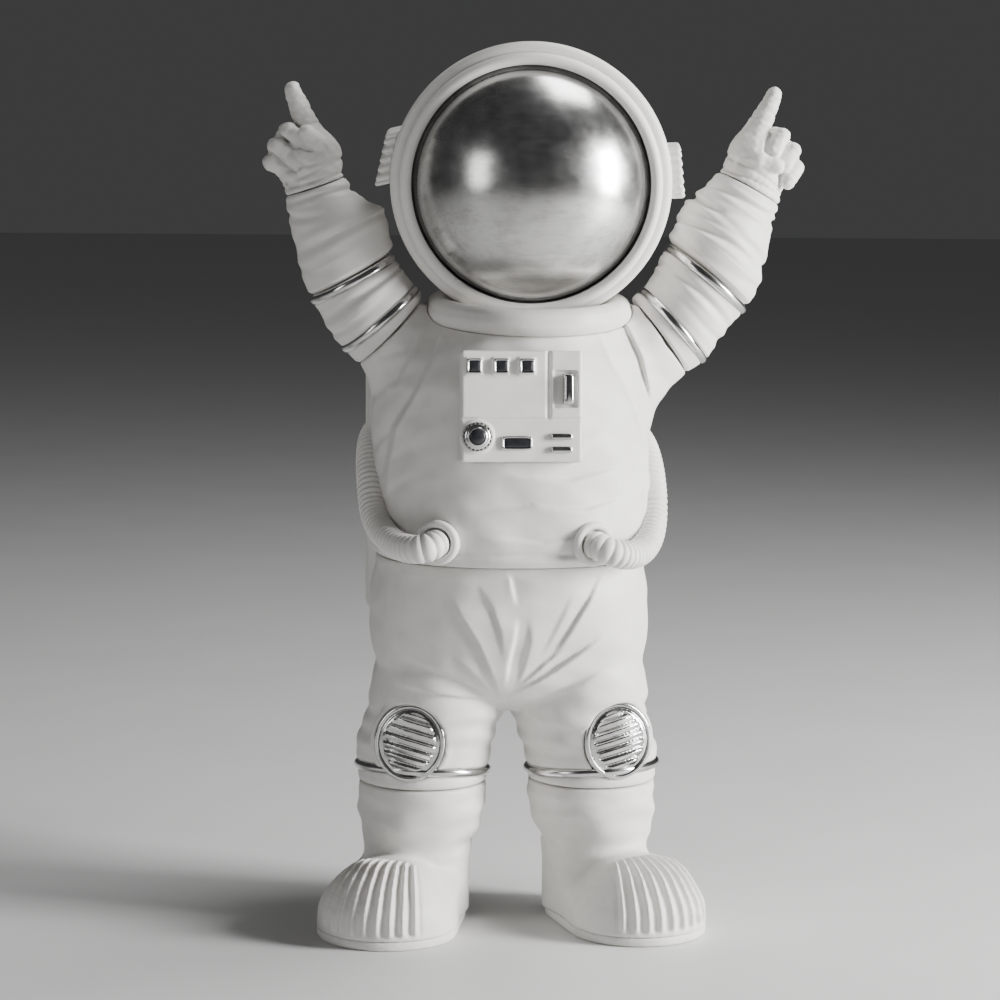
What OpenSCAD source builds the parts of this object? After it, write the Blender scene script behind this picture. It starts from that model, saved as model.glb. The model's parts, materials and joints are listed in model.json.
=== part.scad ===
// Standing figure of an astronaut in a soft suit, both arms raised.
// Units are millimetres. +Z is up, -Y is the front, and the origin is on the floor
// under the middle of the whole figure.

/* [Legs and boots] */
// Distance from the middle of the body to the middle of each leg
leg_offset = 27.3; // [24:0.1:33]
// Radius of the leg at the knee band
knee_r = 20.6; // [17:0.1:23]
// Height of the knee band above the floor
knee_z = 49.5; // [42:0.5:60]
// Height of the crotch above the floor
crotch_z = 71; // [62:0.5:80]
// Radius of the round toe of the boot
toe_r = 22; // [18:0.1:26]
// Radius of the heel of the boot
heel_r = 17.5; // [14:0.1:20]
// Height of the toe cap above the floor
toe_h = 26; // [22:0.5:31]
// Thickness of the sole
sole_h = 7; // [5:0.1:9]
// Angle each foot points outwards
toe_out = 23; // [10:1:30]

/* [Body] */
// Half width of the body at the belly
body_w = 44; // [36:0.1:53]
// Half depth of the body at the belly
body_d = 40; // [33:0.1:48]
// Height of the jacket hem above the floor
hem_z = 119; // [112:0.5:130]
// Height of the jacket from its hem to the neck
jacket_h = 76; // [62:0.5:92]
// Width of the backpack
pack_w = 86; // [70:1:94]
// Thickness of the backpack behind the jacket
pack_t = 15; // [10:0.5:20]
// Radius of the hoses
hose_r = 4.5; // [3.5:0.1:5]

/* [Chest panel] */
// Width of the control panel
panel_w = 37; // [30:0.5:42]
// Height of the control panel
panel_h = 34; // [28:0.5:36]
// Angle the panel leans back
panel_lean = 5; // [0:1:8]
// Radius of the round dial
dial_r = 4.4; // [3:0.1:5]

/* [Helmet] */
// Outer radius of the helmet
helmet_r = 42.3; // [36:0.1:46]
// Thickness of the helmet wall
helmet_wall = 3; // [2:0.1:5]
// How far the visor rim stands in front of the helmet's middle
visor_cut = 12.6; // [8:0.1:18]
// Distance the helmet's middle sits to the side of the body's middle
helmet_shift = 4.9; // [0:0.1:6]
// Angle the helmet nods forward
helmet_nod = 7; // [0:0.5:12]
// Angle the helmet leans to its left
helmet_lean = 3; // [0:0.5:6]
// Radius of the soft neck roll
collar_tube = 4.3; // [3:0.1:5]
// How far the neck roll sits below the helmet
collar_low = 3.8; // [3:0.1:6]

/* [Arms] */
// Radius of the sleeve at the lower band
sleeve_r = 14.3; // [12:0.1:16]
// Radius of the wrist
wrist_r = 9.6; // [8:0.1:11]
// Radius of the half-round silver bands
band_r = 1.4; // [1:0.1:2]

/* [Fits] */
// Gap between two pieces that turn against each other
turn_gap = 0.4; // [0.3:0.05:0.8]
// Radial gap of a swivel plug in its socket
plug_gap = 0.08; // [0.02:0.01:0.1]
// Gap round a plug's glued end
glue_gap = 0.02; // [0.01:0.01:0.05]

/* [Hidden] */

suit = [0.93, 0.92, 0.89];
silver = [0.72, 0.72, 0.73];
dark = [0.16, 0.16, 0.17];
inner = [0.80, 0.79, 0.76];

LEFT = -1;
RIGHT = 1;
ring_sides = 40;
neck_z = hem_z + jacket_h;
boot_top_z = knee_z - 4;
front_y = -47;
back_y = body_d - 2 + pack_t;
shift_x = -7.3 * body_w / 44;
shift_y = -(front_y + back_y) / 2;
pad_rim = 1.5;
toe_reach = toe_r + 3;
neck_plug_r = 6;

// ---- general shapes ----

// A signed power, used by the rounded oval
function soft(v, e) = sign(v) * pow(abs(v), e);

// One closed ring of points: a rounded oval, turned about Y and moved to its centre
function ring(centre, rx, ry, e = 2, turn = 0) = [
    for (i = [0 : ring_sides - 1])
        let (
            a = 360 * i / ring_sides,
            x = rx * soft(cos(a), 2 / e),
            y = ry * soft(sin(a), 2 / e)
        )
        [centre.x + x * cos(turn), centre.y + y, centre.z - x * sin(turn)]
];

// A closed skin through a list of rings, lowest ring first
module skin(rings) {
    n = len(rings[0]);
    m = len(rings);
    points = [for (r = rings) each r];
    sides = [
        for (k = [0 : m - 2], i = [0 : n - 1])
            each [
                [k * n + i, (k + 1) * n + i, (k + 1) * n + (i + 1) % n],
                [k * n + i, (k + 1) * n + (i + 1) % n, k * n + (i + 1) % n]
            ]
    ];
    low_cap = [[for (i = [0 : n - 1]) i]];
    high_cap = [[for (i = [n - 1 : -1 : 0]) (m - 1) * n + i]];
    polyhedron(points, concat(sides, low_cap, high_cap));
}

// A swivel plug: glued end below z = 0, snap-in head above it
module plug(r, glued, free) {
    translate([0, 0, -glued]) cylinder(r = r, h = glued + free, $fn = 64);
    translate([0, 0, free * 0.55]) cylinder(r = r * 1.3, h = free * 0.45, $fn = 64);
}

// The socket the free end of a plug turns in
module turning_socket(r, free) {
    translate([0, 0, -1]) cylinder(r = r + plug_gap, h = free + 1 + turn_gap, $fn = 64);
    translate([0, 0, free * 0.55 - 2 * turn_gap])
        cylinder(r = r * 1.3 + turn_gap, h = free * 0.45 + 3 * turn_gap, $fn = 64);
}

// The hole the glued end of a plug sits in
module glued_socket(r, glued) {
    translate([0, 0, -glued - glue_gap]) cylinder(r = r + glue_gap, h = glued + 1, $fn = 64);
}

// A round ring of half-round section about Z
module half_round_ring(r, tube) {
    rotate_extrude($fn = 96) translate([r, 0]) circle(r = tube, $fn = 24);
}

// A block with rounded vertical edges, standing on z = 0, its middle on the axis
module rounded_block(w, d, h, r) {
    linear_extrude(h) {
        square([w - 2 * r, d], center = true);
        square([w, d - 2 * r], center = true);
        for (x = [-1, 1], y = [-1, 1])
            translate([x * (w / 2 - r), y * (d / 2 - r)]) circle(r = r, $fn = 24);
    }
}

// ---- trousers ----

module leg_place(side) {
    translate([side * leg_offset, 0, 0]) children();
}

module hips_form() {
    top = hem_z - turn_gap;
    skin([
        ring([0, 0, crotch_z - 1], body_w * 0.32, body_d * 0.28),
        ring([0, 0, crotch_z + 2], body_w * 0.6, body_d * 0.48, 2.2),
        ring([0, 0, crotch_z + 7], body_w * 0.85, body_d * 0.65, 2.3),
        ring([0, 0, crotch_z + 14], body_w * 0.97, body_d * 0.77, 2.5),
        ring([0, 0, crotch_z + 24], body_w * 1.01, body_d * 0.86, 2.5),
        ring([0, 0, crotch_z + 36], body_w * 1.0, body_d * 0.9, 2.3),
        ring([0, 0, top], body_w * 0.97, body_d * 0.9, 2.2)
    ]);
}

module thigh_form(side) {
    bottom = boot_top_z + turn_gap;
    inward = body_w * 0.53;
    skin([
        ring([side * leg_offset, 0, bottom], knee_r * 0.98, knee_r * 0.98),
        ring([side * leg_offset, 0, knee_z], knee_r, knee_r),
        ring([side * (leg_offset - 0.6), 0, knee_z + 7], knee_r * 1.04, knee_r * 1.05),
        ring([side * (leg_offset - 1.6), 0, crotch_z - 7], knee_r * 1.08, knee_r * 1.15),
        ring([side * (inward + 0.6), 0, crotch_z + 3], knee_r * 1.06, knee_r * 1.28),
        ring([side * inward, 0, crotch_z + 14], knee_r * 0.96, knee_r * 1.35)
    ]);
}

module knee_band_place(side) {
    translate([side * leg_offset, 0, knee_z]) rotate([-4, side * -3, 0]) children();
}

module knee_pad_place(side) {
    translate([side * (leg_offset + 5.6), -knee_r * 0.95, knee_z + 11.8])
        rotate([90, 0, side * 14])
            rotate([0, 0, side * 9])
                children();
}

// The oval outline of a knee pad, built from arcs of circles
module pad_outline(grow) {
    intersection() {
        translate([3, 0]) circle(r = 12.8 + grow, $fn = 80);
        translate([-3, 0]) circle(r = 12.8 + grow, $fn = 80);
        circle(r = 11 + grow, $fn = 80);
    }
}

module trousers() {
    color(suit)
        difference() {
            union() {
                hips_form();
                thigh_form(LEFT);
                thigh_form(RIGHT);
            }
            translate([0, 0, hem_z - turn_gap]) glued_socket(14, 16);
            for (side = [LEFT, RIGHT]) {
                knee_band_place(side) half_round_ring(knee_r, band_r + glue_gap);
                translate([side * leg_offset, 0, boot_top_z + turn_gap])
                    mirror([0, 0, 1]) glued_socket(8, 14);
                knee_pad_place(side) translate([0, 0, -2.4]) linear_extrude(14) pad_outline(pad_rim + glue_gap);
            }
        }
}

module waist_plug() {
    color(inner) translate([0, 0, hem_z - turn_gap]) plug(14, 16, 16);
}

module knee_band(side) {
    color(silver)
        difference() {
            knee_band_place(side) half_round_ring(knee_r, band_r);
            knee_pad_place(side) translate([0, 0, -2.4 - glue_gap]) linear_extrude(14) pad_outline(pad_rim + glue_gap);
        }
}

module knee_pad_ring(side) {
    color(silver)
        knee_pad_place(side) translate([0, 0, -2.4]) linear_extrude(5.4)
            difference() {
                pad_outline(pad_rim);
                pad_outline(0);
            }
}

module knee_pad(side) {
    slat_pitch = 2.6;
    color(silver)
        knee_pad_place(side)
            difference() {
                intersection() {
                    translate([0, 0, -2.4]) linear_extrude(10) pad_outline(-glue_gap);
                    translate([0, 0, -14.2]) sphere(r = 18.6, $fn = 96);
                }
                for (i = [-3.5 : 1 : 3.5])
                    translate([0, i * slat_pitch, 4.7 - i * i * 0.19]) rotate([0, 90, 0])
                        translate([0, 0, -15]) cylinder(r = 0.55, h = 30, $fn = 20);
            }
}

module knee_plug(side) {
    color(inner)
        translate([side * leg_offset, 0, boot_top_z + turn_gap]) mirror([0, 0, 1]) plug(8, 14, 14);
}

// ---- boots ----

module foot_place(side) {
    translate([side * (leg_offset + 2.7), 3, 0]) rotate([0, 0, side * toe_out]) children();
}

module foot_outline(grow) {
    hull() {
        circle(r = heel_r + grow, $fn = 64);
        translate([0, -toe_reach]) circle(r = toe_r + grow, $fn = 64);
    }
}

// The round toe cap; its top is a low dome
module toe_dome(grow) {
    top = toe_h - sole_h + grow;
    translate([0, -toe_reach, sole_h])
        rotate_extrude($fn = 48)
            polygon(concat(
                [[0, 0]],
                [for (a = [0 : 9 : 90])
                    [(toe_r + grow - 0.6) * soft(cos(a), 0.75), top * soft(sin(a), 0.95)]]
            ));
}

module boot(side) {
    calf = knee_r + 0.9;
    color(suit)
        difference() {
            union() {
                foot_place(side)
                    hull() {
                        toe_dome(0);
                        translate([0, 0, sole_h]) cylinder(r = heel_r - 0.6, h = 22, $fn = 40);
                    }
                foot_place(side)
                    intersection() {
                        toe_dome(0.9);
                        translate([0, -toe_reach, sole_h + 2])
                            for (i = [-4 : 4])
                                rotate([0, 0, i * 13])
                                    translate([-0.8, -toe_r - 3, 0]) cube([1.6, toe_r - 4, toe_h]);
                    }
                skin([
                    ring([side * (leg_offset + 2.5), 1.5, sole_h], heel_r * 0.99, heel_r * 0.99),
                    ring([side * (leg_offset + 2.3), 1.2, 15], heel_r * 0.98, heel_r * 0.98),
                    ring([side * (leg_offset + 1.8), 0.8, 24], heel_r * 1.08, heel_r * 1.08),
                    ring([side * (leg_offset + 1), 0.4, boot_top_z - 12], calf * 0.98, calf * 0.98),
                    ring([side * (leg_offset + 0.5), 0.1, boot_top_z - 5], calf, calf),
                    ring([side * leg_offset, 0, boot_top_z], knee_r * 0.98, knee_r * 0.98)
                ]);
            }
            translate([side * leg_offset, 0, boot_top_z + turn_gap])
                mirror([0, 0, 1]) turning_socket(8, 14);
        }
}

module sole(side) {
    color(suit)
        foot_place(side) {
            translate([0, 0, 1]) linear_extrude(sole_h - 1) foot_outline(0);
            linear_extrude(1) foot_outline(-0.8);
        }
}

// ---- jacket ----

// Side view of the right and left shoulder: middle of the cut [x, z] and its rise angle
function shoulder_cut(side) = side == LEFT
    ? [-body_w + 5.5, neck_z - 5.5]
    : [body_w + 2.8, neck_z - 7];
function shoulder_rise(side) = side == LEFT ? 44 : 37;

// Stand a child on a plane across the arm: its +Z runs up along the arm
module arm_plane(side, at, rise) {
    translate([at.x, 0, at.y]) rotate([0, side * (90 - rise), 0]) children();
}

module jacket_form(grow = 0) {
    skin([
        ring([0, 0, hem_z], body_w * 0.965 + grow, body_d * 0.965 + grow, 2.2),
        ring([0, 0, hem_z + 2.5], body_w * 0.99 + grow, body_d + grow, 2.2),
        ring([0, 0, hem_z + jacket_h * 0.17], body_w + grow, body_d * 1.03 + grow, 2.2),
        ring([0, 0, hem_z + jacket_h * 0.36], body_w * 1.01 + grow, body_d * 1.02 + grow, 2.2),
        ring([0, 0, hem_z + jacket_h * 0.55], body_w * 1.0 + grow, body_d * 0.97 + grow, 2.2),
        ring([0.4, 0, hem_z + jacket_h * 0.72], body_w * 0.98 + grow, body_d * 0.9 + grow, 2.2),
        ring([1.6, 0, hem_z + jacket_h * 0.84], body_w * 0.91 + grow, body_d * 0.83 + grow, 2.1),
        ring([3.5, 0, hem_z + jacket_h * 0.94], body_w * 0.77 + grow, body_d * 0.76 + grow),
        ring([helmet_shift, 0, neck_z], body_w * 0.66 + grow, body_d * 0.7 + grow)
    ]);
}

helmet_mid = [helmet_shift, -6, neck_z + helmet_r + 0.5];
collar_r = helmet_r * 0.674;
lip_r = 41.2 * helmet_r / 42.3;
lip_tube = 1.9;
lip_at = visor_cut - 0.4;
seat_r = sqrt(pow(lip_r, 2) + pow(lip_at, 2)) + lip_tube + turn_gap;
collar_drop = sqrt(pow(helmet_r + collar_tube + 0.5, 2) - pow(collar_r, 2)) + collar_low;

// +Z runs up the neck, from the middle of the helmet
module neck_axis() {
    translate(helmet_mid) rotate([5, 0, 0]) children();
}

module shoulder_stub(side) {
    cut = shoulder_cut(side);
    rise = shoulder_rise(side);
    reach = side == LEFT ? 14 : 20;
    arm_plane(side, cut, rise)
        translate([0, 0, -reach]) cylinder(r1 = sleeve_r + 3, r2 = sleeve_r + 0.6, h = reach, $fn = 64);
}

module panel_place() {
    translate([-1.2, -body_d * 0.965, hem_z + jacket_h * 0.66])
        rotate([90 - panel_lean, 0, 0]) children();
}

module jacket() {
    color(suit)
        difference() {
            union() {
                jacket_form();
                shoulder_stub(LEFT);
                shoulder_stub(RIGHT);
                neck_axis() translate([0, 0, -collar_drop - 8]) cylinder(r = collar_r - 1, h = 8, $fn = 96);
            }
            translate(helmet_mid) sphere(r = seat_r, $fn = 96);
            neck_axis() {
                translate([0, 0, -collar_drop]) half_round_ring(collar_r, collar_tube + glue_gap);
                translate([0, 0, -seat_r]) mirror([0, 0, 1]) turning_socket(neck_plug_r, 13);
                translate([0, 0, -collar_drop]) cylinder(r = collar_r, h = 12, $fn = 96);
            }
            translate([0, 0, hem_z - turn_gap]) turning_socket(14, 16);
            for (side = [LEFT, RIGHT])
                arm_plane(side, shoulder_cut(side), shoulder_rise(side))
                    mirror([0, 0, 1]) turning_socket(6, 11);
            panel_place() translate([0, 0, -4]) rounded_block(panel_w + 0.04, panel_h + 0.04, 20, 1.2);
        }
}

module collar() {
    color(suit)
        neck_axis() translate([0, 0, -collar_drop]) half_round_ring(collar_r, collar_tube);
}

module neck_plug() {
    color(inner)
        neck_axis() translate([0, 0, -seat_r]) mirror([0, 0, 1])
            plug(neck_plug_r, seat_r - helmet_r + 11.3, 13);
}

// ---- chest panel ----

module control_panel() {
    upper_h = panel_h * 0.62;
    split_y = panel_h / 2 - upper_h;
    split_x = panel_w * 0.222;
    color(suit)
        panel_place()
            difference() {
                translate([0, 0, -4]) rounded_block(panel_w, panel_h, 7.4, 1.2);
                translate([-panel_w, split_y - 0.35, 2.7]) cube([2 * panel_w, 0.7, 2]);
                translate([split_x - 0.35, split_y, 2.7]) cube([0.7, panel_h, 2]);
                translate([panel_w * 0.36, panel_h * 0.157, 2.2]) cube([7.4, 11.4, 3], center = true);
            }
}

module panel_buttons() {
    color(silver)
        panel_place()
            for (x = [-0.395, -0.173, 0.04])
                translate([panel_w * x, panel_h * 0.36, 3.4]) rounded_block(4, 4, 1.8, 0.5);
}

module panel_slider() {
    color(silver)
        panel_place() translate([panel_w * 0.386, panel_h * 0.157, 0.72]) rounded_block(3.4, 9.4, 4.6, 1.4);
}

module panel_dial() {
    color(silver)
        panel_place() translate([-panel_w * 0.37, -panel_h * 0.27, 3.4])
            difference() {
                union() {
                    cylinder(r = dial_r, h = 1.8, $fn = 64);
                    translate([0, 0, 1.8]) cylinder(r = dial_r * 0.62, h = 0.9, $fn = 48);
                }
                for (a = [0 : 22.5 : 337.5])
                    rotate([0, 0, a]) translate([dial_r, 0, -1]) cylinder(r = 0.45, h = 4, $fn = 16);
            }
}

module panel_light() {
    color(dark)
        panel_place() translate([-panel_w * 0.04, -panel_h * 0.326, 3.4]) rounded_block(8.4, 3.6, 0.9, 0.5);
}

module panel_keys() {
    color(silver)
        panel_place()
            for (y = [-0.268, -0.385])
                translate([panel_w * 0.33, panel_h * y, 3.4]) rounded_block(6.8, 2.1, 1.2, 0.6);
}

// ---- hoses and backpack ----

// A point on a smooth curve through four control points
function curve(a, b, c, d, t) =
    a * pow(1 - t, 3) + b * 3 * t * pow(1 - t, 2) + c * 3 * t * t * (1 - t) + d * pow(t, 3);

// Where the hose meets its front fitting
function fitting_at(side) = [side * 25.4 - 2.2, -body_d - 0.6, hem_z + (side == LEFT ? 8.2 : 7.8)];

// The hose leaves the backpack, runs down the flank and turns forward to its fitting
function hose_point(side, t) = t < 0.5
    ? curve([side * (body_w - 5), body_d * 0.6, hem_z + 37],
            [side * (body_w + 2), body_d * 0.38, hem_z + 38],
            [side * (body_w + 2.6), 0, hem_z + 30],
            [side * (body_w + 1.0), -10, hem_z + 18], t * 2)
    : curve([side * (body_w + 1.0), -10, hem_z + 18],
            [side * (body_w - 0.6), -20, hem_z + 6],
            [side * (body_w - 8), -body_d * 0.86, hem_z + (side == LEFT ? 4.6 : 1.6)],
            fitting_at(side), t * 2 - 1);

hose_sides = 12;

// One ring of the hose, square to its path
function hose_ring(side, t, r) =
    let (
        p = hose_point(side, t),
        q = hose_point(side, min(t + 0.01, 1.01)),
        d = (q - p) / norm(q - p),
        u0 = cross(d, [0, 0, 1]),
        u = norm(u0) < 0.01 ? [1, 0, 0] : u0 / norm(u0),
        v = cross(u, d)
    )
    [for (i = [0 : hose_sides - 1])
        let (a = 360 * i / hose_sides) p + u * (r * cos(a)) - v * (r * sin(a))];

module hose(side) {
    steps = 52;
    last = 0.965;
    color(suit)
        difference() {
            skin([
                for (k = [0 : steps])
                    hose_ring(side, k / steps * last, hose_r + (k % 2 == 0 ? -0.45 : 0.35))
            ]);
            jacket_form(glue_gap);
            hose_fitting_form(side, glue_gap);
        }
}

module hose_fitting_form(side, grow = 0) {
    translate(fitting_at(side)) rotate([90, 0, side * 38]) {
        translate([0, 0, -7.2]) cylinder(r = 6.4 + grow, h = 2.4, $fn = 48);
        translate([0, 0, -5]) cylinder(r = 5.2 + grow, h = 6, $fn = 48);
    }
}

module hose_fitting(side) {
    color(suit)
        difference() {
            hose_fitting_form(side);
            jacket_form(glue_gap);
        }
}

module backpack() {
    low = crotch_z + 21;
    high = neck_z - 16;
    color(suit)
        difference() {
            union() {
                translate([0, body_d * 0.62 + (pack_t + body_d * 0.38 - 2) / 2, hem_z + 0.5])
                    rounded_block(pack_w, body_d * 0.38 + pack_t - 2, high - hem_z - 0.5, 6);
                translate([0, body_d * 0.96 + (pack_t - body_d * 0.04 + 2 - 4) / 2, low])
                    rounded_block(pack_w, pack_t - body_d * 0.04 - 2 + 2, high - low, 5);
            }
            jacket_form(glue_gap);
            for (side = [LEFT, RIGHT])
                translate(hose_point(side, 0)) rotate([90, 0, 0]) cylinder(r = hose_r + 1, h = 16, center = true, $fn = 32);
            translate([0, back_y, low + 14]) rotate([90, 0, 0]) translate([0, 0, -1.5])
                rounded_block(pack_w * 0.66, 1.4, 3, 0.6);
            translate([0, back_y, high - 16]) rotate([90, 0, 0]) translate([0, 0, -1.5])
                rounded_block(pack_w * 0.66, 1.4, 3, 0.6);
        }
}

// ---- helmet ----

// The helmet's own axes: -Y out of the visor, +Z out of the crown
module helmet_axes() {
    translate(helmet_mid) rotate([helmet_nod, helmet_lean, -6]) children();
}

visor_r = sqrt(pow(37, 2) + pow(visor_cut, 2)) * helmet_r / 42.3;
rim_r = 38.9 * helmet_r / 42.3;

// Side profile of the helmet wall, revolved about the visor's axis
module helmet_profile() {
    rim_hole = rim_r + 1.7 + glue_gap;
    difference() {
        intersection() {
            union() {
                circle(r = helmet_r, $fn = 128);
                translate([lip_r, lip_at]) circle(r = lip_tube, $fn = 32);
            }
            translate([0, -80]) square([80, 80 + visor_cut + 1.5]);
        }
        circle(r = helmet_r - helmet_wall, $fn = 128);
        translate([-1, visor_cut - 1.5]) square([rim_hole + 1, 60]);
    }
}

module helmet() {
    color(suit)
        difference() {
            union() {
                helmet_axes() rotate([90, 0, 0]) rotate_extrude($fn = 96) helmet_profile();
                neck_axis() translate([0, 0, -helmet_r + 1]) cylinder(r = neck_plug_r + 2.5, h = 12, $fn = 48);
            }
            neck_axis() translate([0, 0, -helmet_r - 3])
                cylinder(r = neck_plug_r + glue_gap, h = 14.3 + glue_gap, $fn = 64);
        }
}

module visor_rim() {
    color(suit)
        helmet_axes() translate([0, -visor_cut + 1.5, 0]) rotate([90, 0, 0])
            difference() {
                rotate_extrude($fn = 128) translate([rim_r - 1.7, 0]) {
                    square([3.4, 4]);
                    translate([1.7, 4]) circle(r = 1.7, $fn = 24);
                }
                translate([0, 0, -visor_cut + 1.5]) sphere(r = visor_r + glue_gap, $fn = 128);
            }
}

module visor() {
    color(silver)
        helmet_axes()
            difference() {
                sphere(r = visor_r, $fn = 128);
                sphere(r = visor_r - 2, $fn = 128);
                translate([0, 60 - visor_cut + 1.5, 0]) cube([200, 120, 200], center = true);
            }
}

module ear_pod(side) {
    color(suit)
        helmet_axes()
            difference() {
                translate([side * (helmet_r - 0.5), -4, 5.6])
                    rotate([0, 90, 0]) translate([0, 0, -6])
                        rounded_block(17.5, 14, 12, 2.4);
                sphere(r = helmet_r + glue_gap, $fn = 128);
                for (i = [-2.5 : 1 : 2.5])
                    translate([side * (helmet_r + 5.5), -4, 5.6 + i * 2.7])
                        cube([1.8, 30, 0.9], center = true);
                translate([0, -lip_at, 0]) rotate([90, 0, 0]) half_round_ring(lip_r, lip_tube + glue_gap);
            }
}

// ---- arms ----

function band_low(side) = shoulder_cut(side) + (side == LEFT ? [-3.2, 4] : [4.5, 3.5]);
function band_high(side) = band_low(side) + (side == LEFT ? [-9.4, 13.8] : [11.3, 16]);
function wrist_at(side) = band_high(side) + (side == LEFT ? [-9.9, 27.7] : [13.8, 26.8]);
function low_rise(side) = side == LEFT ? 49 : 42;
function high_rise(side) = side == LEFT ? 61 : 51;
function wrist_rise(side) = side == LEFT ? 71 : 61.5;
function high_r(side) = side == LEFT ? sleeve_r * 0.97 : sleeve_r * 1.06;
function end_r(side) = side == LEFT ? wrist_r : wrist_r * 1.12;

// Rings of a sleeve from one arm plane to the next, with soft folds between them
function sleeve_rings(side, a, ta, ra, b, tb, rb, bulge, folds, fold_h, steps) = [
    for (k = [0 : steps])
        let (
            u = k / steps,
            p = a + (b - a) * u,
            rise = ta + (tb - ta) * u,
            r = ra + (rb - ra) * u + bulge * sin(180 * u) + fold_h * sin(360 * folds * u)
        )
        ring([p.x, 0, p.y], r, r, 2, side * (90 - rise))
];

// A point a short way along the arm from a plane
function along(side, at, rise, d) = [at.x + side * cos(rise) * d, at.y + sin(rise) * d];

module upper_sleeve(side) {
    cut = shoulder_cut(side);
    rise = shoulder_rise(side);
    start = along(side, cut, rise, turn_gap);
    low = band_low(side);
    high = along(side, band_high(side), high_rise(side), -turn_gap / 2);
    color(suit)
        difference() {
            skin(concat(
                sleeve_rings(side, start, rise, sleeve_r * 1.02, low, low_rise(side), sleeve_r, 0.5, 1, 0.2, 4),
                [for (i = [1 : 8]) sleeve_rings(side, low, low_rise(side), sleeve_r, high, high_rise(side),
                    high_r(side), 1.0, 2, 0.35, 8)[i]]
            ));
            arm_plane(side, start, rise) mirror([0, 0, 1]) glued_socket(6, 8);
            arm_plane(side, high, high_rise(side)) glued_socket(5, 8);
            arm_plane(side, low, low_rise(side)) half_round_ring(sleeve_r, band_r + glue_gap);
            arm_plane(side, along(side, high, high_rise(side), -band_r), high_rise(side))
                half_round_ring(high_r(side), band_r + glue_gap);
        }
}

module lower_band(side) {
    color(silver) arm_plane(side, band_low(side), low_rise(side)) half_round_ring(sleeve_r, band_r);
}

module upper_band(side) {
    color(silver)
        arm_plane(side, along(side, band_high(side), high_rise(side), -turn_gap / 2 - band_r), high_rise(side))
            half_round_ring(high_r(side), band_r);
}

module forearm_sleeve(side) {
    low = along(side, band_high(side), high_rise(side), turn_gap / 2);
    high = along(side, wrist_at(side), wrist_rise(side), -turn_gap / 2);
    color(suit)
        difference() {
            skin(sleeve_rings(side, low, high_rise(side), high_r(side) * 0.98, high, wrist_rise(side),
                end_r(side) * 1.04, 1.6, 3, 0.4, 12));
            arm_plane(side, low, high_rise(side)) translate([0, 0, -turn_gap]) turning_socket(5, 10);
            arm_plane(side, high, wrist_rise(side)) glued_socket(4, 8);
        }
}

module shoulder_plug(side) {
    start = along(side, shoulder_cut(side), shoulder_rise(side), turn_gap);
    color(inner)
        arm_plane(side, start, shoulder_rise(side)) mirror([0, 0, 1]) plug(6, 8, 11);
}

module elbow_plug(side) {
    high = along(side, band_high(side), high_rise(side), -turn_gap / 2);
    color(inner) arm_plane(side, high, high_rise(side)) plug(5, 8, 10);
}

module wrist_plug(side) {
    high = along(side, wrist_at(side), wrist_rise(side), -turn_gap / 2);
    color(inner) arm_plane(side, high, wrist_rise(side)) plug(4, 8, 7);
}

// A finger: two round ends joined
module finger(a, b, ra, rb) {
    hull() {
        translate(a) sphere(r = ra, $fn = 24);
        translate(b) sphere(r = rb, $fn = 24);
    }
}

// The hand stands on the wrist: +X is the little-finger side, -Y the front
module hand_form(r) {
    intersection() {
        hull() {
            cylinder(r = r, h = 2, $fn = 40);
            translate([-1.6, 0, 8.5]) sphere(r = 9.6, $fn = 32);
            translate([1.4, 0, 11.5]) sphere(r = 8.6, $fn = 32);
        }
        translate([0, 0, 15]) cube([60, 60, 30], center = true);
    }
    finger([-4.4, 0.5, 16.5], [-4.2, 0, 31.2], 4.3, 2.5);
    finger([1.6, -5, 16.6], [2.0, 3.5, 18.2], 4.2, 4);
    finger([6.4, -4.6, 14.2], [6.8, 3.6, 15.2], 4.1, 3.8);
    finger([8.9, -3.8, 9.8], [9.0, 3.2, 10.4], 3.7, 3.5);
    finger([-5.5, -7, 9], [2.5, -9.2, 11.5], 4, 3.2);
}

module glove(side) {
    base = along(side, wrist_at(side), wrist_rise(side), turn_gap / 2);
    color(suit)
        difference() {
            arm_plane(side, base, wrist_rise(side))
                mirror([side == LEFT ? 1 : 0, 0, 0])
                    hand_form(end_r(side));
            arm_plane(side, base, wrist_rise(side)) translate([0, 0, -turn_gap]) turning_socket(4, 7);
        }
}

// ---- the pieces ----

module placed() {
    translate([shift_x, shift_y, 0]) children();
}

placed() trousers();
placed() waist_plug();
placed() knee_band(LEFT);  // knee_band_left
placed() knee_band(RIGHT);  // knee_band_right
placed() knee_pad(LEFT);  // knee_pad_left
placed() knee_pad(RIGHT);  // knee_pad_right
placed() knee_pad_ring(LEFT);  // knee_pad_ring_left
placed() knee_pad_ring(RIGHT);  // knee_pad_ring_right
placed() knee_plug(LEFT);  // knee_plug_left
placed() knee_plug(RIGHT);  // knee_plug_right
placed() boot(LEFT);  // boot_left
placed() boot(RIGHT);  // boot_right
placed() sole(LEFT);  // sole_left
placed() sole(RIGHT);  // sole_right
placed() jacket();
placed() collar();
placed() neck_plug();
placed() control_panel();
placed() panel_buttons();
placed() panel_slider();
placed() panel_dial();
placed() panel_light();
placed() panel_keys();
placed() hose(LEFT);  // hose_left
placed() hose(RIGHT);  // hose_right
placed() hose_fitting(LEFT);  // hose_fitting_left
placed() hose_fitting(RIGHT);  // hose_fitting_right
placed() backpack();
placed() helmet();
placed() visor();
placed() visor_rim();
placed() ear_pod(LEFT);  // ear_pod_left
placed() ear_pod(RIGHT);  // ear_pod_right
placed() upper_sleeve(LEFT);  // upper_sleeve_left
placed() lower_band(LEFT);  // lower_band_left
placed() upper_band(LEFT);  // upper_band_left
placed() forearm_sleeve(LEFT);  // forearm_sleeve_left
placed() glove(LEFT);  // glove_left
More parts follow.
